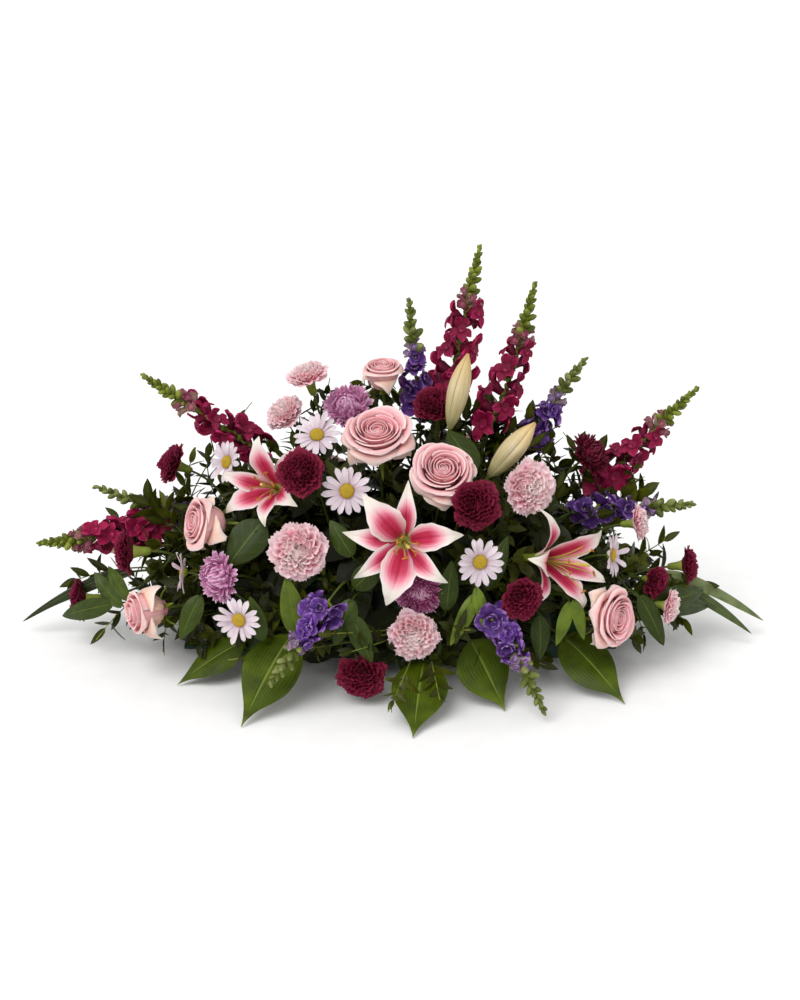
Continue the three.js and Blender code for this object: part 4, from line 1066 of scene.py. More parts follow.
# The mass of leaves that fills the mound between the blooms: how many sprigs, how far out their tips come,
# their leaves' length and rings, and how many pieces they are shared out over.
FILL_SPRIGS = 345
FILL_DEPTHS = (0.8, 0.97)
FILL_LEAF = 29
FILL_RINGS = 5
SECTORS = 6
# The height under which nothing hangs in front, how far back that holds, and the rise under which the tips
# don't come all the way out.
FILL_HEM = 28
HEM_DEPTH = 0
LOW_FRINGE = 0.14
# Big leaves inside the mound, in greens darker than the sprigs' as painted shade: how many, what share of
# its reach they lie at, how long they are and their width over that.
DEEP_LEAVES = 210
DEEP_SHARE = 0.7
DEEP_LENGTHS = (58, 82)
DEEP_SLENDER = 0.66
# The lowest that the tip or foot of a leaf, the bend of its stem and the middle of a dark leaf come.
LOW_TIP = 6
LOW_BEND = 8
LOW_MIDDLE = 10
# Tips of the tallest sprigs, which stand between the spikes: a pixel and a depth.
CREST_TIPS = [
    (436, 396, 60), (450, 386, 50), (470, 396, 62), (487, 400, 66), (501, 404, 62), (514, 400, 56),
    (529, 408, 56), (540, 416, 60), (424, 402, 72), (404, 392, 84), (372, 398, 84),
    (392, 404, 60), (356, 384, 70), (338, 398, 70), (318, 396, 66), (296, 400, 60), (276, 408, 66),
    (262, 424, 60), (246, 436, 56), (236, 446, 40), (208, 456, 40), (184, 476, 40), (150, 494, 30),
    (586, 436, 60), (604, 446, 50), (628, 466, 40), (648, 482, 40), (662, 500, 30), (480, 420, 20),
    (512, 428, 16), (536, 436, 20), (462, 424, 24), (440, 432, 16), (446, 404, 50), (456, 400, 40),
    (466, 408, 44), (478, 410, 40), (490, 412, 46), (500, 418, 40), (484, 424, 30), (452, 416, 30),
]


def mound_directions(count, rng, lowest):
    """Points spread evenly over the ellipsoid of the mound, as shares of its half axes."""
    found = []
    weights = np.prod(MOUND) / MOUND
    while len(found) < count:
        way = unit(rng.normal(size=3))
        way[2] = abs(way[2])
        stretch = np.linalg.norm(weights * way) / weights.max()
        if rng.uniform() < stretch and way[2] > lowest:
            found.append(way)
    return np.array(found)


def foam_point(point, rng):
    """A point in the foam that a stem to the given point could come from."""
    low, high = FOAM_LOW + FOAM_MARGIN, FOAM_HIGH - FOAM_MARGIN
    inside = np.array([point[0] * 0.5, point[1] * 0.22, 45 + point[2] * 0.2])
    return np.clip(inside + rng.normal(0, 6, 3), low, high)


def grow_fill(rng):
    """Leafy sprigs out of the foam to the surface of the mound and its crest, in sectors round it."""
    sectors = [Parts() for _ in range(SECTORS)]
    ways = mound_directions(FILL_SPRIGS, rng, 0.04)
    tips = [
        way * MOUND * (rng.uniform(*FILL_DEPTHS) if way[2] > LOW_FRINGE else FILL_DEPTHS[0]) for way in ways]
    tips += [at_depth(spot) + rng.normal(0, 4, 3) for spot in CREST_TIPS]
    for tip in tips:
        root = foam_point(tip, rng)
        normal = unit(tip / MOUND**2)
        lean = unit(normal + rng.normal(0, 0.4, 3) + 0.1 * UP)
        tip[2] = max(tip[2], LOW_TIP)
        bend = tip - lean * np.linalg.norm(tip - root) * 0.45
        bend[2] = max(bend[2], LOW_BEND)
        if not above_hem(tip, FILL_HEM):
            continue
        sector = sectors[int(math.atan2(tip[1], tip[0]) % TAU / TAU * SECTORS) % SECTORS]
        leaf = FILL_LEAF * rng.uniform(0.75, 1.4)
        slender = rng.uniform(0.34, 0.55)
        grow_sprig(sector, [root, bend, tip], leaf, rng, 6, slender, leafy=rng.uniform(80, 110))
    return sectors


def grow_deep_leaves(rng):
    """Big leaves inside the mound, so that nothing looks empty between the stems; their dark greens are
    painted shade.
    """
    growth = Growth()
    ways = mound_directions(DEEP_LEAVES, rng, 0.03)
    middles = ways * MOUND * DEEP_SHARE * rng.uniform(0.86, 1.1, (len(ways), 1))
    middles[:, 2] = np.maximum(middles[:, 2], LOW_MIDDLE)
    normals = units(ways / MOUND) + rng.normal(0, 0.25, ways.shape)
    aside = rng.normal(size=ways.shape) + 0.5 * UP
    aside = units(aside - normals * (np.sum(aside * normals, 1) / np.sum(normals**2, 1))[:, None])
    lengths = rng.uniform(*DEEP_LENGTHS, len(ways))
    bases = middles - aside * lengths[:, None] * 0.5
    bases[:, 2] = np.maximum(bases[:, 2], LOW_TIP)
    kept = above_hem(bases, FILL_HEM) & above_hem(bases + aside * lengths[:, None], FILL_HEM)
    bases, aside, normals, lengths = bases[kept], aside[kept], normals[kept], lengths[kept]
    bends, tones = rng.uniform(0.1, 0.3, len(bases)), rng.uniform(0, 1, len(bases))
    add_leaves(growth, bases, aside, normals, lengths, lengths * DEEP_SLENDER, bends, tones, rings=8)
    for base, way in zip(bases, aside):
        root = foam_point(base, rng)
        path = bezier([root, base - way * 30, base + way], np.linspace(0, 1, 7))
        path[:, 2] = np.maximum(path[:, 2], 3)
        add_tube(growth, path, 1.1, 5, 0.2)
    return growth


# Single leaves that show between the blooms: tip and foot as pixels, how far out of the mound, width and
# tone, and how much further out the tip is.
SINGLE_LEAVES = [
    ((228, 566), (262, 522), 4, 46, 0.1),
    ((286, 576), (298, 636), 8, 30, 0.75),
    ((448, 430), (474, 470), 6, 36, 0.1),
    ((94, 572), (122, 606), -4, 22, 0.5),
    ((62, 616), (112, 604), -4, 26, 0.3),
    ((108, 566), (128, 598), -8, 20, 0.6),
    ((704, 590), (648, 606), -8, 34, 0.2),
    ((710, 606), (638, 602), -8, 30, 0.1),
    ((540, 660), (540, 616), 6, 24, 0.05),
    ((450, 646), (476, 594), 18, 19, 0.85),
    ((486, 630), (476, 588), 20, 16, 0.9),
    ((556, 646), (570, 602), 18, 17, 0.85),
    ((584, 640), (574, 600), 18, 16, 0.8),
    ((334, 646), (352, 600), 8, 28, 0.3),
    ((384, 560), (354, 588), 4, 30, 0.15),
    ((330, 520), (352, 556), 4, 26, 0.3),
    ((508, 536), (486, 590), 4, 24, 0.2),
    ((250, 596), (262, 640), 8, 24, 0.4),
    ((372, 664), (352, 616), 10, 26, 0.25),
    ((452, 560), (446, 610), 4, 24, 0.2),
    ((180, 640), (200, 596), 4, 26, 0.35),
    ((664, 646), (640, 596), 4, 26, 0.1),
]
SINGLE_RISE = 6


def grow_single_leaves(rng):
    """The single leaves with their stems."""
    growth = Growth()
    across, along = grid(15, 9)
    for tip, foot, out, width, tone in SINGLE_LEAVES:
        base, end = on_mound(foot, out), on_mound(tip, out + SINGLE_RISE)
        way = end - base
        normal = unit(unit(base / MOUND**2) - 0.8 * look_ahead)
        normal = unit(normal - unit(way) * (normal @ unit(way)))
        crown = base + 0.45 * way + 0.14 * np.linalg.norm(way) * normal
        path = bezier([base, crown, end], along)
        half = width / 2 * np.sin(np.pi * (0.03 + 0.97 * along) ** 0.8) ** 0.75
        side = unit(np.cross(way, normal))
        grow_blade(growth, path, half, side, normal, across, along, tone, rng, cup=0.15, wave=1.2)
        root = foam_point(base, rng)
        stem = bezier([root, base - 0.4 * way, base + 0.05 * way], np.linspace(0, 1, 9))
        add_tube(growth, stem, 1.2, 5, 0.3)
    return growth


# Materials, by name.
materials = {}
GLOW_SCALE = 0.6
LEAF_GLOW = (0.001, 0.002, 0.0006)


def colour(code):
    """A colour as sRGB hex digits, made linear."""
    channels = [int(code[k:k + 2], 16) / 255 for k in (0, 2, 4)]
    linear = [c / 12.92 if c <= 0.04045 else ((c + 0.055) / 1.055) ** 2.4 for c in channels]
    return (*linear, 1.0)


class Paint:
    """A material's nodes. Most methods add a node and give its output. Base is the colour so far."""

    def __init__(self, name):
        self.material = materials[name] = bpy.data.materials.new(name)
        self.material.use_nodes = True
        self.tree = self.material.node_tree
        self.tree.nodes.clear()
        self.base = None

    def add(self, kind, sockets=None, **settings):
        node = self.tree.nodes.new(kind)
        for key, value in settings.items():
            setattr(node, key, value)
        for key, value in (sockets or {}).items():
            if isinstance(value, bpy.types.NodeSocket):
                self.tree.links.new(value, node.inputs[key])
            else:
                node.inputs[key].default_value = value
        return node

    def attribute(self, name):
        made = self.add("ShaderNodeAttribute", attribute_name=name, attribute_type="GEOMETRY")
        return tuple(self.add("ShaderNodeSeparateXYZ", {0: made.outputs["Vector"]}).outputs)

    def math(self, operation, first, second=0.0):
        return self.add("ShaderNodeMath", {0: first, 1: second}, operation=operation).outputs[0]

    def times(self, first, second):
        return self.math("MULTIPLY", first, second)

    def plus(self, first, second):
        return self.math("ADD", first, second)

    def spread(self, value, low, high, to_low=0.0, to_high=1.0):
        sockets = {0: value, 1: low, 2: high, 3: to_low, 4: to_high}
        return self.add("ShaderNodeMapRange", sockets, interpolation_type="SMOOTHSTEP").outputs[0]

    def between(self, value, start, full, fading, end):
        """One from full to fading, and none before start or past end."""
        return self.times(self.spread(value, start, full), self.spread(value, fading, end, 1.0, 0.0))

    def ramp(self, factor, stops):
        made = self.add("ShaderNodeValToRGB", {0: factor})
        elements = made.color_ramp.elements
        elements[0].position, elements[-1].position = stops[0][0], stops[-1][0]
        for position, code in stops[1:-1]:
            elements.new(position)
        for element, (position, code) in zip(elements, stops):
            element.color = colour(code)
        return made.outputs[0]

    def mix(self, factor, first, second, blend="MIX"):
        first, second = (colour(side) if isinstance(side, str) else side for side in (first, second))
        sockets = {0: factor, 6: first, 7: second}
        return self.add("ShaderNodeMix", sockets, data_type="RGBA", blend_type=blend).outputs[2]

    def tint(self, amount, other, blend="MIX"):
        """Brings the base nearer to another colour."""
        self.base = self.mix(amount, self.base, other, blend)

    def vector(self, *parts):
        return self.add("ShaderNodeCombineXYZ", dict(enumerate(parts))).outputs[0]

    def place(self):
        return self.add("ShaderNodeTexCoord").outputs["Object"]

    def noise(self, where, scale, detail=2.0):
        sockets = {"Vector": where, "Scale": scale, "Detail": detail}
        return self.add("ShaderNodeTexNoise", sockets).outputs["Fac"]

    def patches(self, scale, detail=2.0):
        return self.noise(self.place(), scale, detail)

    def cells(self, scale):
        return self.add("ShaderNodeTexVoronoi", {"Vector": self.place(), "Scale": scale}).outputs["Distance"]

    def strands(self, form, stretch, scale, detail=3.0):
        """Streaks along a petal or leaf, unlike those of the next one."""
        where = [self.times(value, factor) for value, factor in zip(form, stretch)]
        return self.noise(self.vector(*where), scale, detail)

    def finish(self, roughness, relief=None, glow=None, **constants):
        """The shader. Relief is a height, its strength and its depth. Glow is a weight and three radii."""
        sockets = {"Base Color": self.base, "Roughness": roughness}
        if relief:
            bump = dict(zip(("Height", "Strength", "Distance"), relief))
            sockets["Normal"] = self.add("ShaderNodeBump", bump).outputs["Normal"]
        if glow:
            constants.update(
                Subsurface_Weight=glow[0], Subsurface_Radius=glow[1], Subsurface_Scale=GLOW_SCALE)
        sockets.update({key.replace("_", " "): value for key, value in constants.items()})
        shader = self.add("ShaderNodeBsdfPrincipled", sockets)
        output = self.add("ShaderNodeOutputMaterial")
        self.tree.links.new(shader.outputs[0], output.inputs[0])


def petal(name, along_stops, layer_stops, layering, rim, vein, roughness=0.55, glow=0.25, relief=0.4,
          tones=(0.88, 1.08)):
    """A petal's colour runs along it and, by layering, from the outer petals to the inner ones; where the
    base is much darker, that is partly painted shade for the crevices. Rim is a colour on the edges and tip,
    its strength and where it starts: the flower's own pale edge, and for some flowers a painted highlight.
    Vein is a colour, its strength and how many there are."""
    paint = Paint(name)
    form = across, along, tone = paint.attribute("form")
    layer = paint.attribute("rank")[0]
    rim_colour, rim_strength, rim_start = rim
    vein_colour, vein_strength, vein_count = vein
    paint.base = paint.mix(layering, paint.ramp(along, along_stops), paint.ramp(layer, layer_stops))
    strands = paint.strands(form, (vein_count, 1.0, 37.0), 1.6)
    paint.tint(paint.spread(strands, 0.45, 0.7, 0.0, vein_strength), vein_colour)
    paint.tint(paint.spread(paint.patches(160.0, 3.0), 0.35, 0.7, 0.0, 0.15), along_stops[0][1])
    shade = paint.spread(tone, 0.0, 1.0, *tones)
    paint.tint(1.0, paint.vector(shade, shade, shade), "MULTIPLY")
    side = paint.math("ABSOLUTE", across)
    edge = paint.math("MAXIMUM", paint.times(side, paint.spread(along, 0.2, 0.7)), along)
    edge = paint.plus(edge, paint.times(strands, 0.12))
    paint.tint(paint.spread(edge, rim_start, 1.05, 0.0, rim_strength), rim_colour)
    height = paint.plus(strands, paint.times(paint.patches(1400.0), 0.35))
    paint.finish(
        paint.spread(strands, 0.3, 0.7, roughness - 0.06, roughness + 0.08), (height, relief, 0.0006),
        (glow, (0.004, 0.0022, 0.0018)), Specular_IOR_Level=0.2)


def lily_petal():
    """Cream tepals with a soft crimson band along the middle, and dots that stand up round a green throat."""
    paint = Paint("lily_petal")
    form = paint.attribute("form")
    across, along = form[:2]
    under = paint.attribute("rank")[1]
    side = paint.math("ABSOLUTE", across)
    strands = paint.strands(form, (7.0, 1.0, 41.0), 1.8)
    ragged = paint.plus(side, paint.times(paint.math("SUBTRACT", strands, 0.5), 0.5))
    band = paint.times(paint.spread(ragged, 0.22, 1.06, 1.0, 0.0), paint.between(along, 0.02, 0.12, 0.4, 0.8))
    band = paint.times(paint.math("SUBTRACT", 1.0, paint.times(under, 0.6)), band)
    paint.base = paint.ramp(along, [(0.0, "c0c488"), (0.22, "d8ccbc"), (0.55, "dccccc"), (1.0, "d8d3c2")])
    for low, high, shade in ((0.02, 0.35, "dfa9b0"), (0.25, 0.7, "cf6680"), (0.6, 1.0, "b62a4c")):
        paint.tint(paint.spread(band, low, high), shade)
    paint.tint(paint.spread(side, 0.9, 1.0, 0.0, 0.6), "f0dedb")
    core = paint.times(paint.spread(side, 0.02, 0.16, 1.0, 0.0), paint.between(along, 0.12, 0.2, 0.45, 0.75))
    paint.tint(paint.times(core, 0.7), "a00a36")
    dots = paint.spread(paint.cells(330.0), 0.12, 0.24, 1.0, 0.0)
    dots = paint.times(dots, paint.between(along, 0.12, 0.2, 0.3, 0.5))
    paint.tint(paint.times(dots, 0.35), "a3213f")
    paint.tint(paint.spread(along, 0.03, 0.13, 1.0, 0.0), "c3cf6a")
    height = paint.plus(strands, paint.times(dots, 0.5))
    paint.finish(0.42, (height, 0.35, 0.0007), (0.3, (0.004, 0.002, 0.0018)), Specular_IOR_Level=0.3)


def lily_bud_skin():
    """Green at the foot, cream and gold to the tip, with dark grooves."""
    paint = Paint("lily_bud")
    form = paint.attribute("form")
    across, along = form[:2]
    grain = paint.strands(form, (4.0, 0.8, 1.0), 5.0)
    paint.base = paint.ramp(
        along, [(0.0, "848c40"), (0.2, "b2a872"), (0.6, "cebc92"), (0.88, "ccb074"), (1.0, "b8883a")])
    paint.tint(paint.spread(across, 0.3, 1.0, 0.0, 0.5), "b09a68")
    paint.tint(paint.spread(across, -1.0, -0.5, 0.8, 0.0), "866c3c")
    paint.tint(paint.spread(grain, 0.4, 0.7, 0.0, 0.25), "f3efd6")
    paint.finish(0.45, (grain, 0.3, 0.0006), (0.25, (0.003, 0.003, 0.0015)))


def green(name, dark, mid, pale, tip=None, gloss=0.03):
    """Leaves, stems and calyxes: the green runs from dark to pale by each one's own tone, with fine veins."""
    paint = Paint(name)
    across, along, tone = paint.attribute("form")
    under = paint.attribute("rank")[1]
    paint.base = paint.ramp(tone, [(0.0, dark), (0.55, mid), (1.0, pale)])
    patch = paint.patches(60.0, 3.0)
    paint.tint(paint.spread(patch, 0.35, 0.7, 0.0, 0.5), dark)
    side = paint.math("ABSOLUTE", across)
    paint.tint(paint.spread(side, 0.0, 0.09, 0.4, 0.0), pale)
    if tip:
        paint.tint(paint.spread(along, 0.6, 1.0, 0.0, 0.6), tip)
    paint.tint(paint.times(under, 0.4), pale)
    wave = paint.math("SINE", paint.plus(paint.times(along, 26.0), paint.times(side, 9.0)))
    paint.tint(paint.spread(wave, 0.8, 1.0, 0.0, 0.07), pale)
    height = paint.plus(paint.times(wave, 0.3), paint.patches(700.0))
    paint.finish(
        paint.spread(patch, 0.3, 0.7, 0.37, 0.57), (height, 0.5, 0.0004), (0.08, LEAF_GLOW),
        Specular_IOR_Level=0.18, Coat_Weight=gloss, Coat_Roughness=0.3)


def broad_leaf():
    """A glossy leaf with pale veins that run along it."""
    paint = Paint("broad_leaf")
    form = paint.attribute("form")
    across, along = form[:2]
    strands = paint.strands(form, (14.0, 0.5, 20.0), 2.0, 2.0)
    lines = paint.math("SINE", paint.times(across, 52.0))
    patch = paint.patches(30.0, 3.0)
    side = paint.math("ABSOLUTE", across)
    paint.base = paint.ramp(patch, [(0.3, "283402"), (0.55, "3c4a02"), (0.8, "566406")])
    paint.tint(paint.spread(lines, 0.5, 1.0, 0.0, 0.3), "5a6e0e")
    paint.tint(paint.spread(strands, 0.5, 0.75, 0.0, 0.3), "44580e")
    paint.tint(paint.spread(side, 0.0, 0.06, 0.5, 0.0), "8c9e48")
    paint.tint(paint.spread(along, 0.9, 1.0, 0.0, 0.5), "8a9a4a")
    height = paint.plus(paint.times(lines, 0.4), strands)
    paint.finish(
        paint.spread(patch, 0.3, 0.7, 0.36, 0.5), (height, 0.4, 0.0006), (0.05, LEAF_GLOW),
        Specular_IOR_Level=0.14, Coat_Weight=0.04, Coat_Roughness=0.25)


def grains(name, low, high, scale, relief, roughness=0.8):
    """A surface of small grains in two colours: anthers or foam."""
    paint = Paint(name)
    cells = paint.cells(scale)
    paint.base = paint.mix(paint.spread(paint.patches(scale * 0.3), 0.35, 0.65), low, high)
    paint.tint(paint.spread(cells, 0.2, 0.6, 0.0, 0.4), low)
    paint.finish(roughness, (cells, relief, 0.0008))


def disc():
    """A daisy's disc: a green-gold middle, an orange ring, and lighter gold on random florets as painted
    highlights.
    """
    paint = Paint("disc")
    tone = paint.attribute("form")[2]
    layer = paint.attribute("rank")[0]
    paint.base = paint.ramp(layer, [(0.0, "a0921c"), (0.35, "cc9c18"), (0.75, "cc8c12"), (1.0, "9c6410")])
    # Painted highlights: lighter gold on the florets whose random tone is high.
    paint.tint(paint.spread(tone, 0.3, 1.0, 0.0, 0.5), "e4b430")
    paint.finish(0.7, (paint.patches(1800.0), 0.4, 0.0004), (0.1, (0.002, 0.0015, 0.0005)))


def saddle():
    """Moulded green plastic with a fine grain."""
    paint = Paint("saddle")
    patch = paint.patches(12.0, 3.0)
    paint.base = paint.mix(paint.spread(patch, 0.3, 0.7), "1a3020", "254632")
    paint.finish(paint.spread(patch, 0.3, 0.7, 0.4, 0.55), (paint.patches(900.0), 0.3, 0.0003))


# The rose's deeper pink towards the petal bases is partly its own colour and partly painted shade for the
# crevices between the petals.
petal(
    "rose_petal", [(0.0, "d07a88"), (0.5, "e8a4ac"), (0.85, "eeb8ba"), (1.0, "f0c6c4")],
    [(0.0, "e08c9a"), (0.5, "e9a8b0"), (0.8, "e8b6b6"), (0.93, "e4bea8"), (1.0, "dfc49c")],
    0.55, ("f4dad4", 0.5, 0.88), ("cc7a86", 0.12, 9), relief=0.3, glow=0.5)
petal(
    "carnation_pink_petal", [(0.0, "c45a78"), (0.6, "ea8ca2"), (0.88, "f4b6c2"), (1.0, "f8d2d6")],
    [(0.0, "fdf0ec"), (0.2, "f8dcdc"), (0.42, "f0acb8"), (1.0, "e2849c")],
    0.65, ("fcecea", 0.6, 0.86), ("bc6a80", 0.1, 9), glow=0.35)
# The red carnation darkens to near black towards the petal bases: painted shade for its deep crevices, over
# its own wine red.
petal(
    "carnation_red_petal", [(0.0, "1e0208"), (0.5, "480516"), (0.85, "640920"), (1.0, "76102c")],
    [(0.0, "6e0c28"), (0.4, "54071c"), (1.0, "420416")],
    0.5, ("9a2444", 0.4, 0.9), ("2c020e", 0.2, 9), roughness=0.7, glow=0.12)
petal(
    "mum_petal", [(0.0, "96407a"), (0.45, "ca7aae"), (0.8, "dea2c8"), (1.0, "eec6de")],
    [(0.0, "cc80b0"), (0.5, "d690bc"), (1.0, "dca4c8")],
    0.35, ("f4d4e6", 0.55, 0.9), ("743660", 0.2, 4))
petal(
    "mum_centre_petal", [(0.0, "5c123e"), (0.5, "9c3a70"), (0.8, "c468a0"), (1.0, "f0bcd8")],
    [(0.0, "a84878"), (1.0, "b05484")],
    0.25, ("f8d0e4", 0.6, 0.9), ("40102a", 0.2, 4), glow=0.15)
petal(
    "mum_red_petal", [(0.0, "2e0410"), (0.6, "560a22"), (1.0, "7a1834")],
    [(0.0, "440818"), (0.5, "580c24"), (1.0, "66122c")],
    0.4, ("8c2c48", 0.4, 0.9), ("30040f", 0.2, 4), glow=0.12)
petal(
    "daisy_petal", [(0.0, "b090a2"), (0.25, "ccb8c2"), (0.65, "dccdd2"), (1.0, "d4c4ca")],
    [(0.0, "dccfd4"), (1.0, "d0c0c8")],
    0.3, ("e6dde0", 0.3, 0.8), ("b898a8", 0.34, 6))
# The snapdragon's pale pink rim is a painted highlight on the lobes' edges and tips.
petal(
    "snapdragon_petal", [(0.0, "50041c"), (0.5, "780832"), (1.0, "9c1048")],
    [(0.0, "5c0526"), (1.0, "940c42")],
    0.4, ("c43c74", 0.4, 0.85), ("3c0314", 0.3, 9), roughness=0.6, glow=0.2, tones=(0.7, 1.25))
# The stock's pale lilac rim is a painted highlight on the petals' edges and tips.
petal(
    "stock_petal", [(0.0, "2c1440"), (0.5, "4a2670"), (0.85, "684090"), (1.0, "8a64ac")],
    [(0.0, "3c1c60"), (1.0, "62388c")],
    0.4, ("a880c0", 0.5, 0.82), ("2c1648", 0.25, 9), glow=0.2, tones=(0.7, 1.3))
lily_petal()
lily_bud_skin()
broad_leaf()
disc()
saddle()
grains("anther", "94500c", "d08a20", 900.0, 0.5)
grains("foam", "24502c", "35693e", 700.0, 0.8, 0.95)
# Greens: name, dark, middle and pale shade, the tip's, and gloss.
GREENS = [
    ("sprig_leaf", "141702", "292e03", "585c14"),
    ("single_leaf", "222e02", "38480a", "64761c", None, 0.04),
    # The next row is a darker copy of the sprig greens: painted shade for the leaves inside the mound.
    ("deep_leaf_painted_shade", "0e1002", "191e04", "2a300c"),
    ("strap_leaf", "1c2408", "38441c", "727e50"),
    ("stem", "30380e", "4a561c", "707c3a", None, 0.05),
    ("calyx", "465412", "667420", "8a9440", "969c48"),
    ("snapdragon_bud", "424a0a", "606a1a", "868e36", "8e9444"),
    ("snapdragon_half_open", "6c2c3c", "905868", "a48c78", "8c3c54"),
    ("stock_bud", "444c18", "606a2c", "848a50", "8c8c5c"),
    ("stock_half_open", "5c3c64", "846a88", "aa9894", "846aa0"),
    ("filament", "8c8c34", "b0a44c", "c8b468", "c8a850"),
]
for row in GREENS:
    green(*row)


# Which material and slot each part of a node takes. The other parts have their flower's own.
PART_MATERIALS = {
    "green": ("calyx", "sprig_leaf"),
    "stem": ("stem", "sprig_leaf"),
    "leaves": ("sprig_leaf", "sprig_leaf"),
    "blade": ("broad_leaf", "broad_leaf"),
    "strap": ("strap_leaf", "sprig_leaf"),
    "centre": ("disc", None),
    "filaments": ("filament", None),
    "anthers": ("anther", None),
}
FLOWER_MATERIALS = {"petals": "petal", "buds": "bud", "half_open": "half_open"}
# Nodes whose petals have a material of their own.
OWN_PETALS = {"mum_centre": "mum_centre_petal"}


def grow_head(kind, node, middle, forward, width, rng, parts):
    place = Place(middle, forward, width / 2, rng.uniform(-0.2, 0.2) if kind != "lily" else 0.0)
    if kind == "rose":
        grow_rose(parts, place, rng, node)
    elif kind.startswith("carnation"):
        grow_carnation(parts, place, rng)
    elif kind.startswith("mum"):
        grow_mum(parts, place, rng, node)
    elif kind == "daisy":
        grow_daisy(parts, place, rng)
    else:
        grow_lily(parts, place, rng, node)
    share, radius = KINDS[kind]
    neck = middle + forward * (NECK_SINK - share * width / 2)
    grow_stem(parts["stem"], node, neck, -forward, radius)
    blooms.append((middle, forward, width / 2 * (LILY_ROOM if kind == "lily" else 1.0)))


def make_pieces(node, kind, parts):
    for role, grown in parts.items():
        if role == "leaves":
            grown = finish_leaves(grown, margin=-2)
        if not grown.total:
            continue
        if role in PART_MATERIALS:
            material, slot = PART_MATERIALS[role]
        elif kind == "lily_bud":
            material = slot = kind
        else:
            slot = f"{kind}_petal"
            material = OWN_PETALS.get(node, f"{kind}_{FLOWER_MATERIALS[role]}")
        grown.piece(f"{node}_{role}", materials[material], slot, [node])


grown_nodes = defaultdict(Parts)
for kind, heads in HEADS.items():
    for node, seen, out, turn, tilt, width in heads:
        parts = grown_nodes[node, kind]
        rng = chance(f"{node}{seen}")
        grow_head(kind, node, on_mound(seen, out), facing(turn, tilt), width, rng, parts)
for kind, heads in BACK_HEADS.items():
    for node, place, turn, tilt, width in heads:
        parts = grown_nodes[node, kind]
        grow_head(kind, node, np.array(place, float), facing(turn, tilt), width, chance(node), parts)
for kind, spikes in SPIKES.items():
    for node, tip, foot, buds in spikes:
        parts = grown_nodes[node, kind]
        neck, back, path = grow_spike(parts, kind, tip, foot, buds, chance(node))
        grow_stem(parts["stem"], node, neck, back, SPIKE_KINDS[kind]["stem"])
        for k, point in enumerate(path[1:]):
            blooms.append((point, unit(path[-1] - path[0]), SPIKE_ROOM[k > 4]))
for node, tip, foot, width in BUDS:
    parts = grown_nodes[node, "lily_bud"]
    neck, back = grow_lily_bud(parts, tip, foot, width)
    grow_stem(parts["stem"], node, neck, back, LEAF_STEM)
    for share in (0.2, 0.5, 0.8):
        middle = at_depth(foot) * (1 - share) + at_depth(tip) * share
        blooms.append((middle, -look_ahead, width / 2))
for node, foot, tip, width in LEAVES:
    parts = grown_nodes[node, "broad_leaf"]
    neck, back = grow_broad_leaf(parts, foot, tip, width, chance(f"{node}{tip}"))
    grow_stem(parts["stem"], node, neck, back, LEAF_STEM)
for node, start, lean, tips in BUNCHES:
    parts = grown_nodes[node, "sprig"]
    rng = chance(node)
    lean = unit(lean)
    root = stem_root(node)[0]
    fork = root + lean * (ROOT_DEPTH + 12)
    add_tube(parts["stem"], np.array([root, root + lean * 12, fork]), BUNCH_STEM, 9, 0.3)
    ends = [(at_depth(tip[:3]), tip[3]) for tip in tips]
    if node in FAN_SIDES:
        for share, rise, turns in FAN_ROWS:
            for turn in turns:
                a, b = math.radians(turn), math.radians(rise)
                level = np.array([FAN_SIDES[node] * math.cos(a), math.sin(a), 0]) * math.cos(b)
                ends.append((share * (level + (math.sin(b) + 0.1) * UP) * FAN_REACH, FAN_LEAF))
    for end, leaf in ends:
        reach = np.linalg.norm(end - fork)
        points = [fork - lean * 4, fork + lean * reach * 0.45, end]
        if leaf > LONGEST_SPRIG_LEAF:
            grow_strap(parts, points, rng)
        else:
            grow_sprig(parts, points, leaf * 0.8, rng, 5, 0.4)

for (node, kind), parts in grown_nodes.items():
    make_pieces(node, kind, parts)

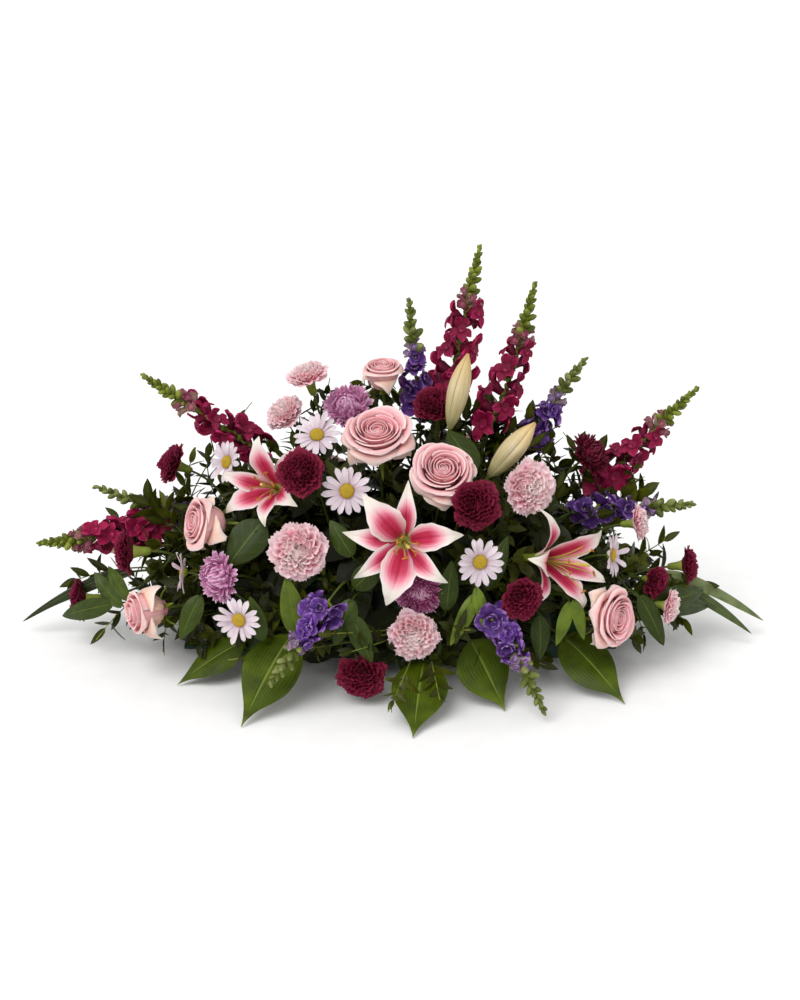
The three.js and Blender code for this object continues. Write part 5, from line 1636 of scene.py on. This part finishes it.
for number, sector in enumerate(grow_fill(chance("fill"))):
    leaves = finish_leaves(sector["leaves"], rings=FILL_RINGS, hem=FILL_HEM)
    leaves.piece(f"fill_leaves_{number}", materials["sprig_leaf"], "sprig_leaf")
    sector["green"].piece(f"fill_stems_{number}", materials["stem"], "sprig_leaf")
grow_deep_leaves(chance("deep")).piece("deep_leaves", materials["deep_leaf_painted_shade"], "sprig_leaf")
grow_single_leaves(chance("single")).piece("single_leaves", materials["single_leaf"], "sprig_leaf")

for node, material in (("floral_foam", "foam"), ("casket_saddle", "saddle")):
    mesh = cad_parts[node].data
    mesh.materials.clear()
    mesh.materials.append(materials[material])


# The studio: a pale floor, a pale sky, two soft lights and the camera.
FLOOR_REACH = 400
SKY = 0.72


def soft_light(name, source, strength, spread):
    """Light from one side, as from a big soft box. Spread is the angle that it covers, in degrees."""
    light = bpy.data.lights.new(name, "SUN")
    light.energy = strength
    light.angle = math.radians(spread)
    made = placed(name, light)
    made.location = source
    made.rotation_euler = Matrix(np.stack(Place((0, 0, 0), source).axes, 1).tolist()).to_euler()


corners = [(x * FLOOR_REACH, y * FLOOR_REACH, 0) for x, y in ((-1, -1), (1, -1), (1, 1), (-1, 1))]
floor_mesh = bpy.data.meshes.new("floor")
floor_mesh.from_pydata(corners, [], [(0, 1, 2, 3)])
floor = placed("floor", floor_mesh)
paint = Paint("floor")
paint.base = paint.mix(paint.spread(paint.patches(30.0), 0.3, 0.7), "f4f4f3", "f7f7f6")
paint.finish(0.7)
floor_mesh.materials.append(materials["floor"])

world = bpy.data.worlds.new("studio")
world.use_nodes = True
background = world.node_tree.nodes["Background"]
background.inputs[0].default_value = (1.0, 1.0, 1.0, 1.0)
background.inputs[1].default_value = SKY
bpy.context.scene.world = world
soft_light("key", (-1.3, -1.7, 2.6), strength=2.0, spread=45)
soft_light("fill", (2.2, -2.0, 1.4), strength=0.3, spread=60)

camera_data = bpy.data.cameras.new("camera")
camera_data.lens = FOCAL * SENSOR / LONG_SIDE
camera_data.sensor_width = SENSOR
camera = placed("camera", camera_data)
camera.location = eye * MM
camera.rotation_euler = (math.pi / 2 - ELEVATION, 0, 0)
bpy.context.scene.camera = camera
bpy.context.scene.view_settings.view_transform = "Standard"
